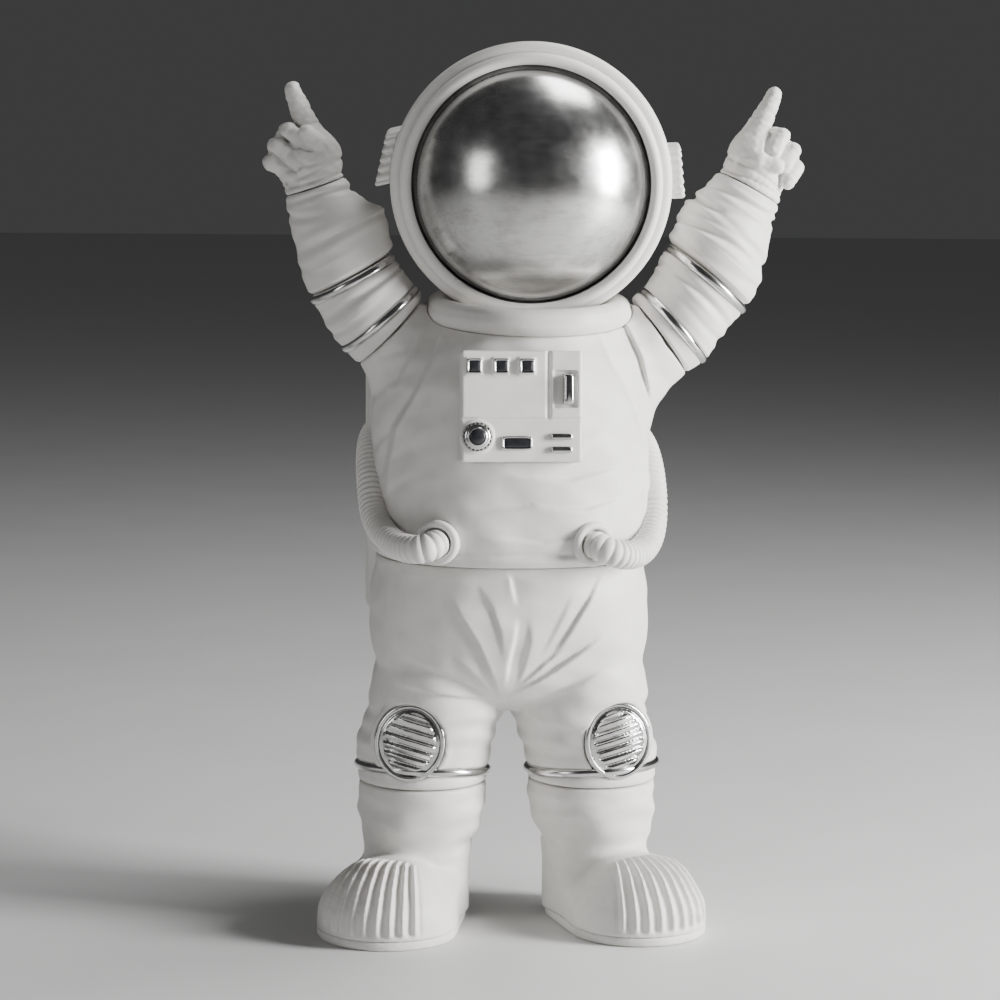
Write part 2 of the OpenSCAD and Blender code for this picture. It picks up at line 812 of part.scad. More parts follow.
placed() shoulder_plug(LEFT);  // shoulder_plug_left
placed() elbow_plug(LEFT);  // elbow_plug_left
placed() wrist_plug(LEFT);  // wrist_plug_left
placed() upper_sleeve(RIGHT);  // upper_sleeve_right
placed() lower_band(RIGHT);  // lower_band_right
placed() upper_band(RIGHT);  // upper_band_right
placed() forearm_sleeve(RIGHT);  // forearm_sleeve_right
placed() glove(RIGHT);  // glove_right
placed() shoulder_plug(RIGHT);  // shoulder_plug_right
placed() elbow_plug(RIGHT);  // elbow_plug_right
placed() wrist_plug(RIGHT);  // wrist_plug_right
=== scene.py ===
"""Finished look of a standing astronaut figure with raised arms.

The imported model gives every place. Each sub-assembly is a class that sculpts its own
surfaces in millimetres round the body axis, and then dresses and mounts them.
"""

from __future__ import annotations

import json
import logging
import math
from dataclasses import dataclass
from enum import Enum

import bpy
import numpy as np
import openvdb
from mathutils import Matrix, Vector


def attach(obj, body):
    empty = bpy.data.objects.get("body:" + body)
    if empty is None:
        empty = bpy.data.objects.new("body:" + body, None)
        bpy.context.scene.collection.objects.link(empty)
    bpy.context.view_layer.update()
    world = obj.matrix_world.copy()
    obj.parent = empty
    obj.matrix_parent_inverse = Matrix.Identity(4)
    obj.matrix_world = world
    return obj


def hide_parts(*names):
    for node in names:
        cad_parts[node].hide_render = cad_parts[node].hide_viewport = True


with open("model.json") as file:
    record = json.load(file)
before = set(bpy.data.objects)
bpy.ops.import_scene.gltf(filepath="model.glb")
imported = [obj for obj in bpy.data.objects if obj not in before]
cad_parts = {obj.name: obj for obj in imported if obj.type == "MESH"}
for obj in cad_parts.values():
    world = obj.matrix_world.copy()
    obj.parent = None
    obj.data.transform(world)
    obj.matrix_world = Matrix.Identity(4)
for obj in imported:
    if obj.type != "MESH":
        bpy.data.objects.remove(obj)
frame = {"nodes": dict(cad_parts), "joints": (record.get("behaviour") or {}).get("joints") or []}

LOG = logging.getLogger("figure")
MM = 0.001
JOINTS = {joint["name"]: joint for joint in frame["joints"]}
WAIST = Vector(JOINTS["waist_turn"]["pos_m"]) / MM
BODY_AXIS = np.array([WAIST.x, WAIST.y, 0.0])


class Side(Enum):
    """Which side of the figure a piece is on, as the viewer sees it."""

    LEFT = -1
    RIGHT = 1

    @property
    def sign(self) -> int:
        """-1 on the viewer's left, +1 on the right."""
        return self.value

    def name_of(self, stem: str) -> str:
        """The node, body or joint name of this side's piece."""
        return f"{stem}_{self.name.lower()}"


class Slot(Enum):
    """Material slots of the record."""

    SUIT = "suit"
    SHELL = "hard_shell"
    GLOVE = "glove"
    HOSE = "hose"
    SOLE = "sole"
    VISOR = "visor"
    SILVER = "silver_trim"
    DARK = "dark_window"
    PLUG = "swivel_plug"


# ---------------------------------------------------------------- shader kit


class Wire:
    """One shader value that can be used in arithmetic."""

    def __init__(self, paint: "Paint", socket: bpy.types.NodeSocket) -> None:
        """Keeps the material being built and the socket it wraps."""
        self.paint = paint
        self.socket = socket

    def _math(self, operation: str, first: object, second: object) -> "Wire":
        """Adds a Math node.

        Args:
            operation: the Math node's operation.
            first: a Wire or a number.
            second: a Wire or a number.

        Returns:
            The node's result.
        """
        return self.paint.node("ShaderNodeMath", {"operation": operation}, {0: first, 1: second})

    def __add__(self, other: object) -> "Wire":
        """Self plus other."""
        return self._math("ADD", self, other)

    def __radd__(self, other: object) -> "Wire":
        """Other plus self."""
        return self._math("ADD", other, self)

    def __sub__(self, other: object) -> "Wire":
        """Self minus other."""
        return self._math("SUBTRACT", self, other)

    def __rsub__(self, other: object) -> "Wire":
        """Other minus self."""
        return self._math("SUBTRACT", other, self)

    def __mul__(self, other: object) -> "Wire":
        """Self times other."""
        return self._math("MULTIPLY", self, other)

    def __rmul__(self, other: object) -> "Wire":
        """Other times self."""
        return self._math("MULTIPLY", other, self)

    def __truediv__(self, other: object) -> "Wire":
        """Self divided by other."""
        return self._math("DIVIDE", self, other)

    def __pow__(self, other: object) -> "Wire":
        """Self to the power other."""
        return self._math("POWER", self, other)


class Paint:
    """Builds the node tree of one material."""

    def __init__(self, name: str) -> None:
        """Starts an empty material.

        Args:
            name: the material's name.
        """
        self.material = bpy.data.materials.new(name)
        self.material.use_nodes = True
        self.tree = self.material.node_tree
        self.tree.nodes.clear()

    def node(self, kind: str, settings: dict | None = None, values: dict | None = None,
             output: int | str = 0) -> Wire:
        """Adds one node.

        Args:
            kind: the node's type name.
            settings: its properties, set first; "stops" sets a colour ramp.
            values: what its sockets take, by name or number: a Wire or a constant.
            output: the output to hand back.

        Returns:
            That output as a Wire.
        """
        made = self.tree.nodes.new(kind)
        for key, value in (settings or {}).items():
            if key == "stops":
                ramp = made.color_ramp.elements
                while len(ramp) < len(value):
                    ramp.new(0.5)
                for element, (place, colour) in zip(ramp, value):
                    element.position = place
                    element.color = colour
            else:
                setattr(made, key, value)
        for key, value in (values or {}).items():
            if isinstance(value, Wire):
                self.tree.links.new(value.socket, made.inputs[key])
            else:
                made.inputs[key].default_value = value
        return Wire(self, made.outputs[output])

    def place(self) -> Wire:
        """Object coordinates."""
        return self.node("ShaderNodeTexCoord", output="Object")

    def noise(self, size_mm: float, detail: float = 3.0, stretch: tuple = (1.0, 1.0, 1.0)) -> Wire:
        """Soft noise with features of about size_mm, from 0 to 1."""
        scaled = self.node("ShaderNodeMapping", {"vector_type": "POINT"},
                           {"Vector": self.place(), "Scale": stretch})
        return self.node("ShaderNodeTexNoise", {"noise_dimensions": "3D"},
                         {"Vector": scaled, "Scale": 1.0 / (size_mm * MM), "Detail": detail})

    def mix(self, low: tuple, high: tuple, share: Wire) -> Wire:
        """A colour between low and high."""
        return self.node("ShaderNodeMix", {"data_type": "RGBA"}, {"Factor": share, 6: low, 7: high}, 2)

    def ramp(self, share: Wire, stops: list) -> Wire:
        """A colour ramp."""
        return self.node("ShaderNodeValToRGB", {"stops": stops}, {"Fac": share})

    def bump(self, height: Wire, strength: float, depth_mm: float) -> Wire:
        """A bump of height, depth_mm deep."""
        return self.node("ShaderNodeBump", None,
                         {"Height": height, "Strength": strength, "Distance": depth_mm * MM}, "Normal")

    def close(self, values: dict) -> bpy.types.Material:
        """Ends the material in a Principled shader.

        Args:
            values: the shader's socket values.

        Returns:
            The finished material.
        """
        shader = self.node("ShaderNodeBsdfPrincipled", None, values)
        end = self.tree.nodes.new("ShaderNodeOutputMaterial")
        self.tree.links.new(shader.socket, end.inputs["Surface"])
        return self.material


@dataclass(frozen=True)
class CastWhite:
    """Warm white cast or moulded surface with an eggshell skin."""

    name: str
    colour: tuple = (0.80, 0.785, 0.75)
    shade: tuple = (0.70, 0.685, 0.65)
    roughness: float = 0.5
    grain_mm: float = 0.5
    grain_depth_mm: float = 0.05
    blotch_mm: float = 26.0

    def make(self) -> bpy.types.Material:
        """Builds the material."""
        paint = Paint(self.name)
        blotch = paint.noise(self.blotch_mm, 4.0)
        cloud = paint.noise(3.2, 5.0)
        grain = paint.noise(self.grain_mm, 2.0)
        tone = blotch * 0.65 + cloud * 0.35
        colour = paint.ramp(tone, [(0.30, (*self.shade, 1.0)), (0.62, (*self.colour, 1.0))])
        height = grain * 0.7 + cloud * 0.9
        return paint.close({
            "Base Color": colour,
            "Roughness": self.roughness + (cloud - 0.5) * 0.22 + (grain - 0.5) * 0.10,
            "Specular IOR Level": 0.42,
            "Normal": paint.bump(height, 0.45, self.grain_depth_mm),
        })


@dataclass(frozen=True)
class SilverPlate:
    """Silver plating, from polished to satin, with fine leaf-like mottling."""

    name: str
    colour: tuple = (0.66, 0.655, 0.65)
    tarnish: tuple = (0.42, 0.415, 0.41)
    roughness: float = 0.2
    spread: float = 0.16
    ripple_mm: float = 0.02

    def make(self) -> bpy.types.Material:
        """Builds the material."""
        paint = Paint(self.name)
        leaf = paint.noise(6.0, 6.0)
        streak = paint.noise(1.4, 3.0, (0.25, 1.0, 1.6))
        fine = paint.noise(0.35, 2.0)
        colour = paint.ramp(leaf * 0.6 + streak * 0.4,
                            [(0.25, (*self.tarnish, 1.0)), (0.55, (*self.colour, 1.0))])
        return paint.close({
            "Base Color": colour,
            "Metallic": 1.0,
            "Roughness": self.roughness + (leaf - 0.4) * self.spread + (fine - 0.5) * 0.06,
            "Normal": paint.bump(leaf * 0.6 + streak * 0.5 + fine * 0.12, 0.35, self.ripple_mm),
        })


@dataclass(frozen=True)
class DarkWindow:
    """Glossy near-black moulded window; the same near-black also paints the shade in the visor gap and a
    dark reflection on the button tops.
    """

    name: str

    def make(self) -> bpy.types.Material:
        """Builds the material."""
        paint = Paint(self.name)
        smear = paint.noise(2.0, 3.0)
        colour = paint.mix((0.012, 0.012, 0.014, 1.0), (0.035, 0.035, 0.04, 1.0), smear)
        return paint.close({
            "Base Color": colour,
            "Roughness": 0.14 + smear * 0.12,
            "Normal": paint.bump(smear, 0.2, 0.01),
        })


FINISHES = {
    Slot.SUIT: CastWhite("suit_white"),
    Slot.SHELL: CastWhite("shell_white", (0.815, 0.80, 0.765), (0.74, 0.725, 0.69), 0.44, 0.35, 0.03, 40.0),
    Slot.GLOVE: CastWhite("glove_white", (0.79, 0.775, 0.74), (0.66, 0.645, 0.61), 0.58, 0.55, 0.10, 9.0),
    Slot.HOSE: CastWhite("hose_white", (0.80, 0.785, 0.75), (0.70, 0.685, 0.65), 0.48, 0.4, 0.04, 12.0),
    Slot.SOLE: CastWhite("sole_white", (0.77, 0.755, 0.72), (0.66, 0.645, 0.61), 0.56, 0.6, 0.07, 18.0),
    Slot.VISOR: SilverPlate("visor_silver", (0.62, 0.615, 0.605), (0.40, 0.395, 0.385), 0.23, 0.14, 0.03),
    Slot.SILVER: SilverPlate("trim_silver", (0.68, 0.675, 0.67), (0.40, 0.395, 0.39), 0.17, 0.2, 0.03),
    Slot.DARK: DarkWindow("window_black"),
    Slot.PLUG: CastWhite("plug_natural", (0.62, 0.61, 0.57), (0.55, 0.54, 0.50), 0.42, 0.3, 0.02, 10.0),
}
PAINTS = {slot: finish.make() for slot, finish in FINISHES.items()}


def mount(piece: bpy.types.Object, body: str, slot: Slot, *nodes: str) -> bpy.types.Object:
    """Dresses a piece, hangs it on its body and lets it stand for CAD nodes.

    Args:
        piece: the finished mesh object.
        body: the body it rides on.
        slot: its material slot.
        nodes: the CAD nodes it replaces.

    Returns:
        The piece.
    """
    piece.data.materials.clear()
    piece.data.materials.append(PAINTS[slot])
    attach(piece, body)
    if nodes:
        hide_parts(*nodes)
    LOG.info("%s: %d faces on %s", piece.name, len(piece.data.polygons), body)
    return piece


# ---------------------------------------------------------------- mesh kit


def to_row(points: np.ndarray) -> np.ndarray:
    """Body millimetres to metres in the model's frame."""
    return (points + BODY_AXIS) * MM


def mesh_object(name: str, points: np.ndarray, faces: list, smooth: bool = True) -> bpy.types.Object:
    """Makes a mesh object whose faces point outwards.

    Args:
        name: the piece's name.
        points: corners in body millimetres.
        faces: lists of corner numbers.
        smooth: shade it smooth.

    Returns:
        The new object, linked to the scene.
    """
    row = to_row(np.asarray(points, float))
    mesh = bpy.data.meshes.new(name)
    mesh.from_pydata(row.tolist(), [], faces)
    mesh.validate()
    mesh.update()
    corners = np.array([[p.vertices[0], p.vertices[1], p.vertices[2]] for p in mesh.polygons])
    centred = row - row.mean(0)
    a, b, c = (centred[corners[:, i]] for i in range(3))
    if np.einsum("ij,ij->i", a, np.cross(b, c)).sum() < 0:
        mesh.flip_normals()
    if smooth:
        mesh.shade_smooth()
    piece = bpy.data.objects.new(name, mesh)
    bpy.context.scene.collection.objects.link(piece)
    return piece


def skin_grid(name: str, rings: np.ndarray, loop: bool = False) -> bpy.types.Object:
    """Skins a stack of rings; open stacks are closed by a middle point at each end.

    Args:
        name: the piece's name.
        rings: points as [ring, around, xyz] in body millimetres.
        loop: the last ring joins the first, as on a torus.

    Returns:
        The closed mesh object.
    """
    count, around, _ = rings.shape
    index = np.arange(count * around).reshape(count, around)
    points = rings.reshape(-1, 3)
    following = np.roll(index, -1, axis=1)
    low, low_next = (index, following) if loop else (index[:-1], following[:-1])
    high = np.roll(index, -1, axis=0) if loop else index[1:]
    high_next = np.roll(following, -1, axis=0) if loop else following[1:]
    faces = np.stack([low, low_next, high_next, high], axis=-1).reshape(-1, 4).tolist()
    if not loop:
        ends = np.stack([rings[0].mean(0), rings[-1].mean(0)])
        first, last = len(points), len(points) + 1
        points = np.concatenate([points, ends])
        faces += [[int(following[0, i]), int(index[0, i]), first] for i in range(around)]
        faces += [[int(index[-1, i]), int(following[-1, i]), last] for i in range(around)]
    return mesh_object(name, points, faces)


def lathe(name: str, profile: list | np.ndarray, matrix: Matrix, around: int = 160,
          loop: bool = False) -> bpy.types.Object:
    """Turns a profile of (radius, height) points about the local Z of matrix.

    Args:
        name: the piece's name.
        profile: the outline, in millimetres.
        matrix: from the lathe's axes to body millimetres.
        around: points in each ring.
        loop: the profile closes on itself.

    Returns:
        The turned mesh object.
    """
    outline = np.asarray(profile, float)
    angles = np.linspace(0, 2 * math.pi, around, endpoint=False)
    rings = np.empty((len(outline), around, 3))
    rings[:, :, 0] = outline[:, :1] * np.cos(angles)
    rings[:, :, 1] = outline[:, :1] * np.sin(angles)
    rings[:, :, 2] = outline[:, 1:]
    return skin_grid(name, carried(rings, matrix), loop)


def carried(points: np.ndarray, matrix: Matrix) -> np.ndarray:
    """Points moved by a matrix."""
    turn = np.array(matrix.to_3x3())
    return points @ turn.T + np.array(matrix.translation)


def arc(middle: tuple, radius: float, start: float, end: float, count: int) -> list:
    """Points (r, h) on an arc, angles in degrees from the +r direction."""
    return [(middle[0] + radius * math.cos(math.radians(a)), middle[1] + radius * math.sin(math.radians(a)))
            for a in np.linspace(start, end, count)]


class Clay:
    """A block of sampled space in which a soft form is modelled as a distance."""

    def __init__(self, low: tuple, high: tuple, step: float) -> None:
        """Samples the block.

        Args:
            low: its lowest corner, in body millimetres.
            high: its highest corner.
            step: distance between samples.
        """
        self.low = np.array(low, np.float32)
        self.step = step
        axes = [np.arange(a, b + step, step, dtype=np.float32) for a, b in zip(low, high)]
        self.x, self.y, self.z = np.meshgrid(*axes, indexing="ij")

    def local(self, matrix: Matrix) -> tuple[np.ndarray, np.ndarray, np.ndarray]:
        """The samples in other axes.

        Args:
            matrix: the axes' place in the block.

        Returns:
            Their x, y and z.
        """
        back = matrix.inverted()
        rows = [np.float32(back[i][0]) * self.x + np.float32(back[i][1]) * self.y
                + np.float32(back[i][2]) * self.z + np.float32(back[i][3]) for i in range(3)]
        return rows[0], rows[1], rows[2]

    def cast(self, name: str, distance: np.ndarray) -> bpy.types.Object:
        """Turns the distance's zero surface into a mesh.

        Args:
            name: the piece's name.
            distance: signed distance at every sample, negative inside.

        Returns:
            The closed mesh object.
        """
        reach = 3 * self.step
        grid = openvdb.FloatGrid(reach)
        grid.copyFromArray(np.clip(distance, -reach, reach).astype(np.float32))
        grid.transform = openvdb.createLinearTransform(self.step)
        points, quads = grid.convertToQuads(0.0)
        return mesh_object(name, np.asarray(points, float) + self.low, np.asarray(quads).tolist())


def join(a: np.ndarray, b: np.ndarray, soft: float) -> np.ndarray:
    """Smooth union of two distances, blended over soft millimetres."""
    share = np.clip(0.5 + 0.5 * (b - a) / soft, 0, 1)
    return b + (a - b) * share - soft * share * (1 - share)


def common(a: np.ndarray, b: np.ndarray, soft: float) -> np.ndarray:
    """Smooth intersection of two distances."""
    return -join(-a, -b, soft)


def without(a: np.ndarray, b: np.ndarray, soft: float) -> np.ndarray:
    """Smooth difference of two distances."""
    return -join(-a, b, soft)


def bone(p: tuple, a: tuple, b: tuple, ra: float, rb: float) -> np.ndarray:
    """Distance to a round bar that tapers.

    Args:
        p: x, y and z of the samples.
        a: one end.
        b: the other end.
        ra: radius at a.
        rb: radius at b.

    Returns:
        The distance at each sample.
    """
    run = [b[i] - a[i] for i in range(3)]
    length = sum(r * r for r in run)
    share = np.clip(sum((p[i] - a[i]) * run[i] for i in range(3)) / length, 0, 1)
    gap = np.sqrt(sum((p[i] - a[i] - share * run[i]) ** 2 for i in range(3)))
    return gap - (ra + (rb - ra) * share)


def ball(p: tuple, middle: tuple, radius: float) -> np.ndarray:
    """Distance to a ball."""
    return np.sqrt(sum((p[i] - middle[i]) ** 2 for i in range(3))) - radius


def brick(p: tuple, middle: tuple, half: tuple, rounding: float) -> np.ndarray:
    """Distance to a box with rounded edges.

    Args:
        p: x, y and z of the samples.
        middle: the box's centre.
        half: half its size along each axis.
        rounding: radius of the edges.

    Returns:
        The distance at each sample.
    """
    q = [np.abs(p[i] - middle[i]) - (half[i] - rounding) for i in range(3)]
    outside = np.sqrt(sum(np.maximum(c, 0) ** 2 for c in q))
    return outside + np.minimum(np.maximum(np.maximum(q[0], q[1]), q[2]), 0) - rounding


def smooth_levels(z: np.ndarray, levels: np.ndarray, ease: float) -> np.ndarray:
    """Each column of levels as a smooth function of height.

    Args:
        z: heights, evenly spaced.
        levels: rows of (height, value, value, ...).
        ease: how far corners are rounded, in millimetres.

    Returns:
        One row of values per height.
    """
    step = float(z[1] - z[0])
    pad = int(ease / step) + 1
    long = np.concatenate([z[0] - step * np.arange(pad, 0, -1), z, z[-1] + step * np.arange(1, pad + 1)])
    kernel = np.hanning(2 * pad + 1)
    kernel /= kernel.sum()
    columns = [np.convolve(np.interp(long, levels[:, 0], levels[:, i]), kernel, "same")[pad:-pad]
               for i in range(1, levels.shape[1])]
    return np.stack(columns, axis=1).astype(np.float32)


def column(clay: Clay, levels: list, ease: float = 4.0) -> np.ndarray:
    """Distance to an upright form with rounded-oval sections.

    Args:
        clay: the sampled block.
        levels: rows of (height, half width, half depth, middle x, middle y, squareness).
        ease: how far the profile's corners are rounded.

    Returns:
        The sideways distance at every sample.
    """
    heights = clay.z[0, 0, :]
    rows = smooth_levels(heights, np.array(levels, float), ease)
    rx, ry, cx, cy, square = (rows[:, i][None, None, :] for i in range(5))
    dx, dy = clay.x - cx, clay.y - cy
    reach = np.sqrt(dx * dx + dy * dy) + 1e-4
    shape = ((np.abs(dx) / rx) ** square + (np.abs(dy) / ry) ** square) ** (1 / square)
    return reach * (1 - 1 / np.maximum(shape, 1e-3))


def waves(p: tuple, size: float, seed: int) -> np.ndarray:
    """Gentle random swell.

    Args:
        p: x, y and z of the samples.
        size: size of its features, in millimetres.
        seed: start of the random draws.

    Returns:
        Values between about -1 and 1.
    """
    rng = np.random.default_rng(seed)
    total = np.zeros_like(p[0])
    for _ in range(7):
        heading = rng.normal(size=3)
        heading *= 2 * math.pi / size / np.linalg.norm(heading) * rng.uniform(0.6, 1.3)
        phase = np.float32(rng.uniform(0, 6.28))
        total += np.sin(sum(np.float32(heading[i]) * p[i] for i in range(3)) + phase)
    return total / 3.2


def crease(clay: Clay, points: tuple, depth: float, width: float) -> np.ndarray:
    """Relief of one cloth fold drawn in the front view: a fine valley with a soft ridge on its left.

    Args:
        clay: the sampled block.
        points: (x, z) points along the fold.
        depth: the valley's depth; negative turns it into a ridge.
        width: half width of the valley.

    Returns:
        Height to add, as a slab that spans the block from front to back.
    """
    x, z = clay.x[:, :1, :], clay.z[:, :1, :]
    spans = [math.hypot(b[0] - a[0], b[1] - a[1]) for a, b in zip(points[:-1], points[1:])]
    best = np.full_like(x, 1e6)
    side, along = np.zeros_like(x), np.zeros_like(x)
    for k, ((ax, az), (bx, bz)) in enumerate(zip(points[:-1], points[1:])):
        rx, rz = bx - ax, bz - az
        share = np.clip(((x - ax) * rx + (z - az) * rz) / (rx * rx + rz * rz), 0, 1)
        ox, oz = x - ax - share * rx, z - az - share * rz
        gap = np.sqrt(ox * ox + oz * oz)
        nearer = gap < best
        best = np.where(nearer, gap, best)
        side = np.where(nearer, np.sign(rx * oz - rz * ox), side)
        along = np.where(nearer, (sum(spans[:k]) + share * spans[k]) / sum(spans), along)
    away = best * side
    taper = np.clip(np.sin(np.pi * np.clip(along, 0.0, 1.0)), 0, 1)
    cliff = np.tanh(away / (0.55 * width)) * np.exp(-best / (3.4 * width))
    return depth * taper * (0.95 * cliff - 0.45 * bell(away, 0.55 * width))


def bell(distance: np.ndarray, width: float) -> np.ndarray:
    """A rounded bump, 1 at distance 0 and gone past about twice the width."""
    return np.exp(-(distance / width) ** 2)


def step_up(value: np.ndarray, start: float, end: float) -> np.ndarray:
    """Smooth step from 0 at start to 1 at end."""
    share = np.clip((value - start) / (end - start), 0, 1)
    return share * share * (3 - 2 * share)


# ---------------------------------------------------------------- repeats


class Repeater:
    """A Geometry Nodes tree built in the script, run once and turned into a plain mesh."""

    def __init__(self, name: str) -> None:
        """Starts an empty tree with one geometry output.

        Args:
            name: the tree's name.
        """
        self.tree = bpy.data.node_groups.new(name, "GeometryNodeTree")
        self.tree.interface.new_socket("Geometry", in_out="OUTPUT", socket_type="NodeSocketGeometry")
        self.entry = self.tree.nodes.new("NodeGroupInput")
        self.exit = self.tree.nodes.new("NodeGroupOutput")
        self.values: dict[str, object] = {}

    def ask(self, name: str, kind: str, value: object) -> tuple[bpy.types.Node, str]:
        """Adds a named input and remembers its value.

        Args:
            name: the input's name.
            kind: its socket type.
            value: what it is given at the run.

        Returns:
            The node and output that hold it.
        """
        self.tree.interface.new_socket(name, in_out="INPUT", socket_type=kind)
        self.values[name] = value
        return self.entry, name

    def node(self, kind: str, settings: dict | None = None, values: dict | None = None) -> bpy.types.Node:
        """Adds one node.

        Args:
            kind: the node's type name.
            settings: its properties.
            values: what its sockets take: a (node, output) pair or a constant.

        Returns:
            The node.
        """
        made = self.tree.nodes.new(kind)
        for key, value in (settings or {}).items():
            setattr(made, key, value)
        for key, value in (values or {}).items():
            if isinstance(value, tuple) and isinstance(value[0], bpy.types.Node):
                self.tree.links.new(value[0].outputs[value[1]], made.inputs[key])
            else:
                made.inputs[key].default_value = value
        return made

    def run(self, name: str, carrier: bpy.types.Object, last: bpy.types.Node,
            slot: Slot) -> bpy.types.Object:
        """Runs the tree on a carrier and keeps the result as a plain mesh object.

        Args:
            name: the new piece's name.
            carrier: the object the tree starts from; it is removed afterwards.
            last: the node that hands over the geometry.
            slot: the finish to set.

        Returns:
            The plain mesh object.
        """
        real = self.node("GeometryNodeRealizeInstances", None, {0: (last, 0)})
        painted = self.node("GeometryNodeSetMaterial", None, {0: (real, 0), "Material": PAINTS[slot]})
        self.tree.links.new(painted.outputs[0], self.exit.inputs[0])
        modifier = carrier.modifiers.new(name, "NODES")
        modifier.node_group = self.tree
        for item in self.tree.interface.items_tree:
            if item.in_out == "INPUT" and self.values[item.name] is not None:
                modifier[item.identifier] = self.values[item.name]
        depsgraph = bpy.context.evaluated_depsgraph_get()
        mesh = bpy.data.meshes.new_from_object(carrier.evaluated_get(depsgraph), depsgraph=depsgraph)
        mesh.name = name
        piece = bpy.data.objects.new(name, mesh)
        bpy.context.scene.collection.objects.link(piece)
        carrier.modifiers.clear()
        bpy.data.objects.remove(carrier)
        return piece


# ---------------------------------------------------------------- places


def place(*turns: Matrix) -> Matrix:
    """The product of several matrices, first one outermost."""
    whole = Matrix.Identity(4)
    for turn in turns:
        whole = whole @ turn
    return whole


def shift(x: float, y: float, z: float) -> Matrix:
    """A move in millimetres."""
    return Matrix.Translation((x, y, z))


def spin(axis: str, degrees: float) -> Matrix:
    """A turn about X, Y or Z."""
    return Matrix.Rotation(math.radians(degrees), 4, axis)


def joint_point(name: str) -> Vector:
    """A joint's place in body millimetres."""
    return Vector(JOINTS[name]["pos_m"]) / MM - Vector((WAIST.x, WAIST.y, 0.0))


@dataclass(frozen=True)
class ArmPlane:
    """A plane across an arm: its middle and the angle at which the arm climbs there."""

    side: Side
    x: float
    z: float
    rise: float

    @classmethod
    def of_joint(cls, side: Side, stem: str) -> "ArmPlane":
        """The plane of one of the arm's joints.

        Args:
            side: the arm's side.
            stem: the joint's name without its side.

        Returns:
            The plane square to the joint's axis at its anchor.
        """
        joint = JOINTS[side.name_of(stem)]
        point = joint_point(joint["name"])
        axis = Vector(joint["axis"])
        return cls(side, point.x, point.z, math.degrees(math.asin(min(1.0, abs(axis.z)))))

    def moved(self, distance: float) -> "ArmPlane":
        """The plane shifted up the arm.

        Args:
            distance: how far, in millimetres.

        Returns:
            The shifted plane.
        """
        lean = math.radians(self.rise)
        return ArmPlane(self.side, self.x + self.side.sign * math.cos(lean) * distance,
                        self.z + math.sin(lean) * distance, self.rise)

    def matrix(self) -> Matrix:
        """Axes with X outwards, Y to the back and Z along the arm."""
        lean = math.radians(self.rise)
        sign = self.side.sign
        return Matrix(((sign * math.sin(lean), 0.0, sign * math.cos(lean), self.x), (0.0, 1.0, 0.0, 0.0),
                       (-math.cos(lean), 0.0, math.sin(lean), self.z), (0.0, 0.0, 0.0, 1.0)))


@dataclass(frozen=True)
class Plan:
    """Sizes shared by the sub-assemblies, in millimetres."""

    leg_offset: float = 27.3
    knee_r: float = 20.6
    knee_z: float = 49.5
    boot_top: float = 45.5
    crotch_z: float = 71.0
    hem_z: float = 119.0
    neck_z: float = 195.0
    body_w: float = 44.0
    body_d: float = 40.0
    gap: float = 0.4
    helmet_r: float = 42.3
    helmet_mid: tuple = (4.9, -6.0, 237.8)
    visor_cut: float = 12.6
    seat_r: float = 45.27
    collar_drop: float = 41.3

    def neck(self) -> Matrix:
        """Axes up the neck from the middle of the helmet."""
        return place(shift(*self.helmet_mid), spin("X", 5))

    def helmet(self) -> Matrix:
        """The helmet's own axes: -Y out of the visor."""
        return place(shift(*self.helmet_mid), spin("Z", -6), spin("Y", 3), spin("X", 7))

    def panel(self) -> Matrix:
        """The chest panel's axes: Z outwards, Y up."""
        return place(shift(-1.2, -self.body_d * 0.965, 169.16), spin("X", 85))

    def knee_pad(self, side: Side) -> Matrix:
        """A knee pad's axes: Z outwards, Y up."""
        return place(shift(side.sign * (self.leg_offset + 5.6), -self.knee_r * 0.95, self.knee_z + 11.8),
                     spin("Z", side.sign * 14), spin("X", 90), spin("Z", side.sign * 9))

    def knee_band(self, side: Side) -> Matrix:
        """A knee band's axes."""
        tilt = -6 if side is Side.LEFT else -4
        return place(shift(side.sign * self.leg_offset, 0, self.knee_z + 0.3), spin("Y", side.sign * -3),
                     spin("X", tilt))

    def foot(self, side: Side) -> Matrix:
        """A foot's axes: -Y towards the toe."""
        return place(shift(side.sign * (self.leg_offset + 2.7), 3, 0), spin("Z", side.sign * 23))


PLAN = Plan()


def pad_outline(x: np.ndarray, y: np.ndarray) -> np.ndarray:
    """Distance to a knee pad's oval outline."""
    sides = [np.sqrt((x - c) ** 2 + y * y) - 12.8 for c in (-3.0, 3.0)]
    return common(np.maximum(sides[0], sides[1]), np.sqrt(x * x + y * y) - 11.0, 1.5)


# ---------------------------------------------------------------- legs


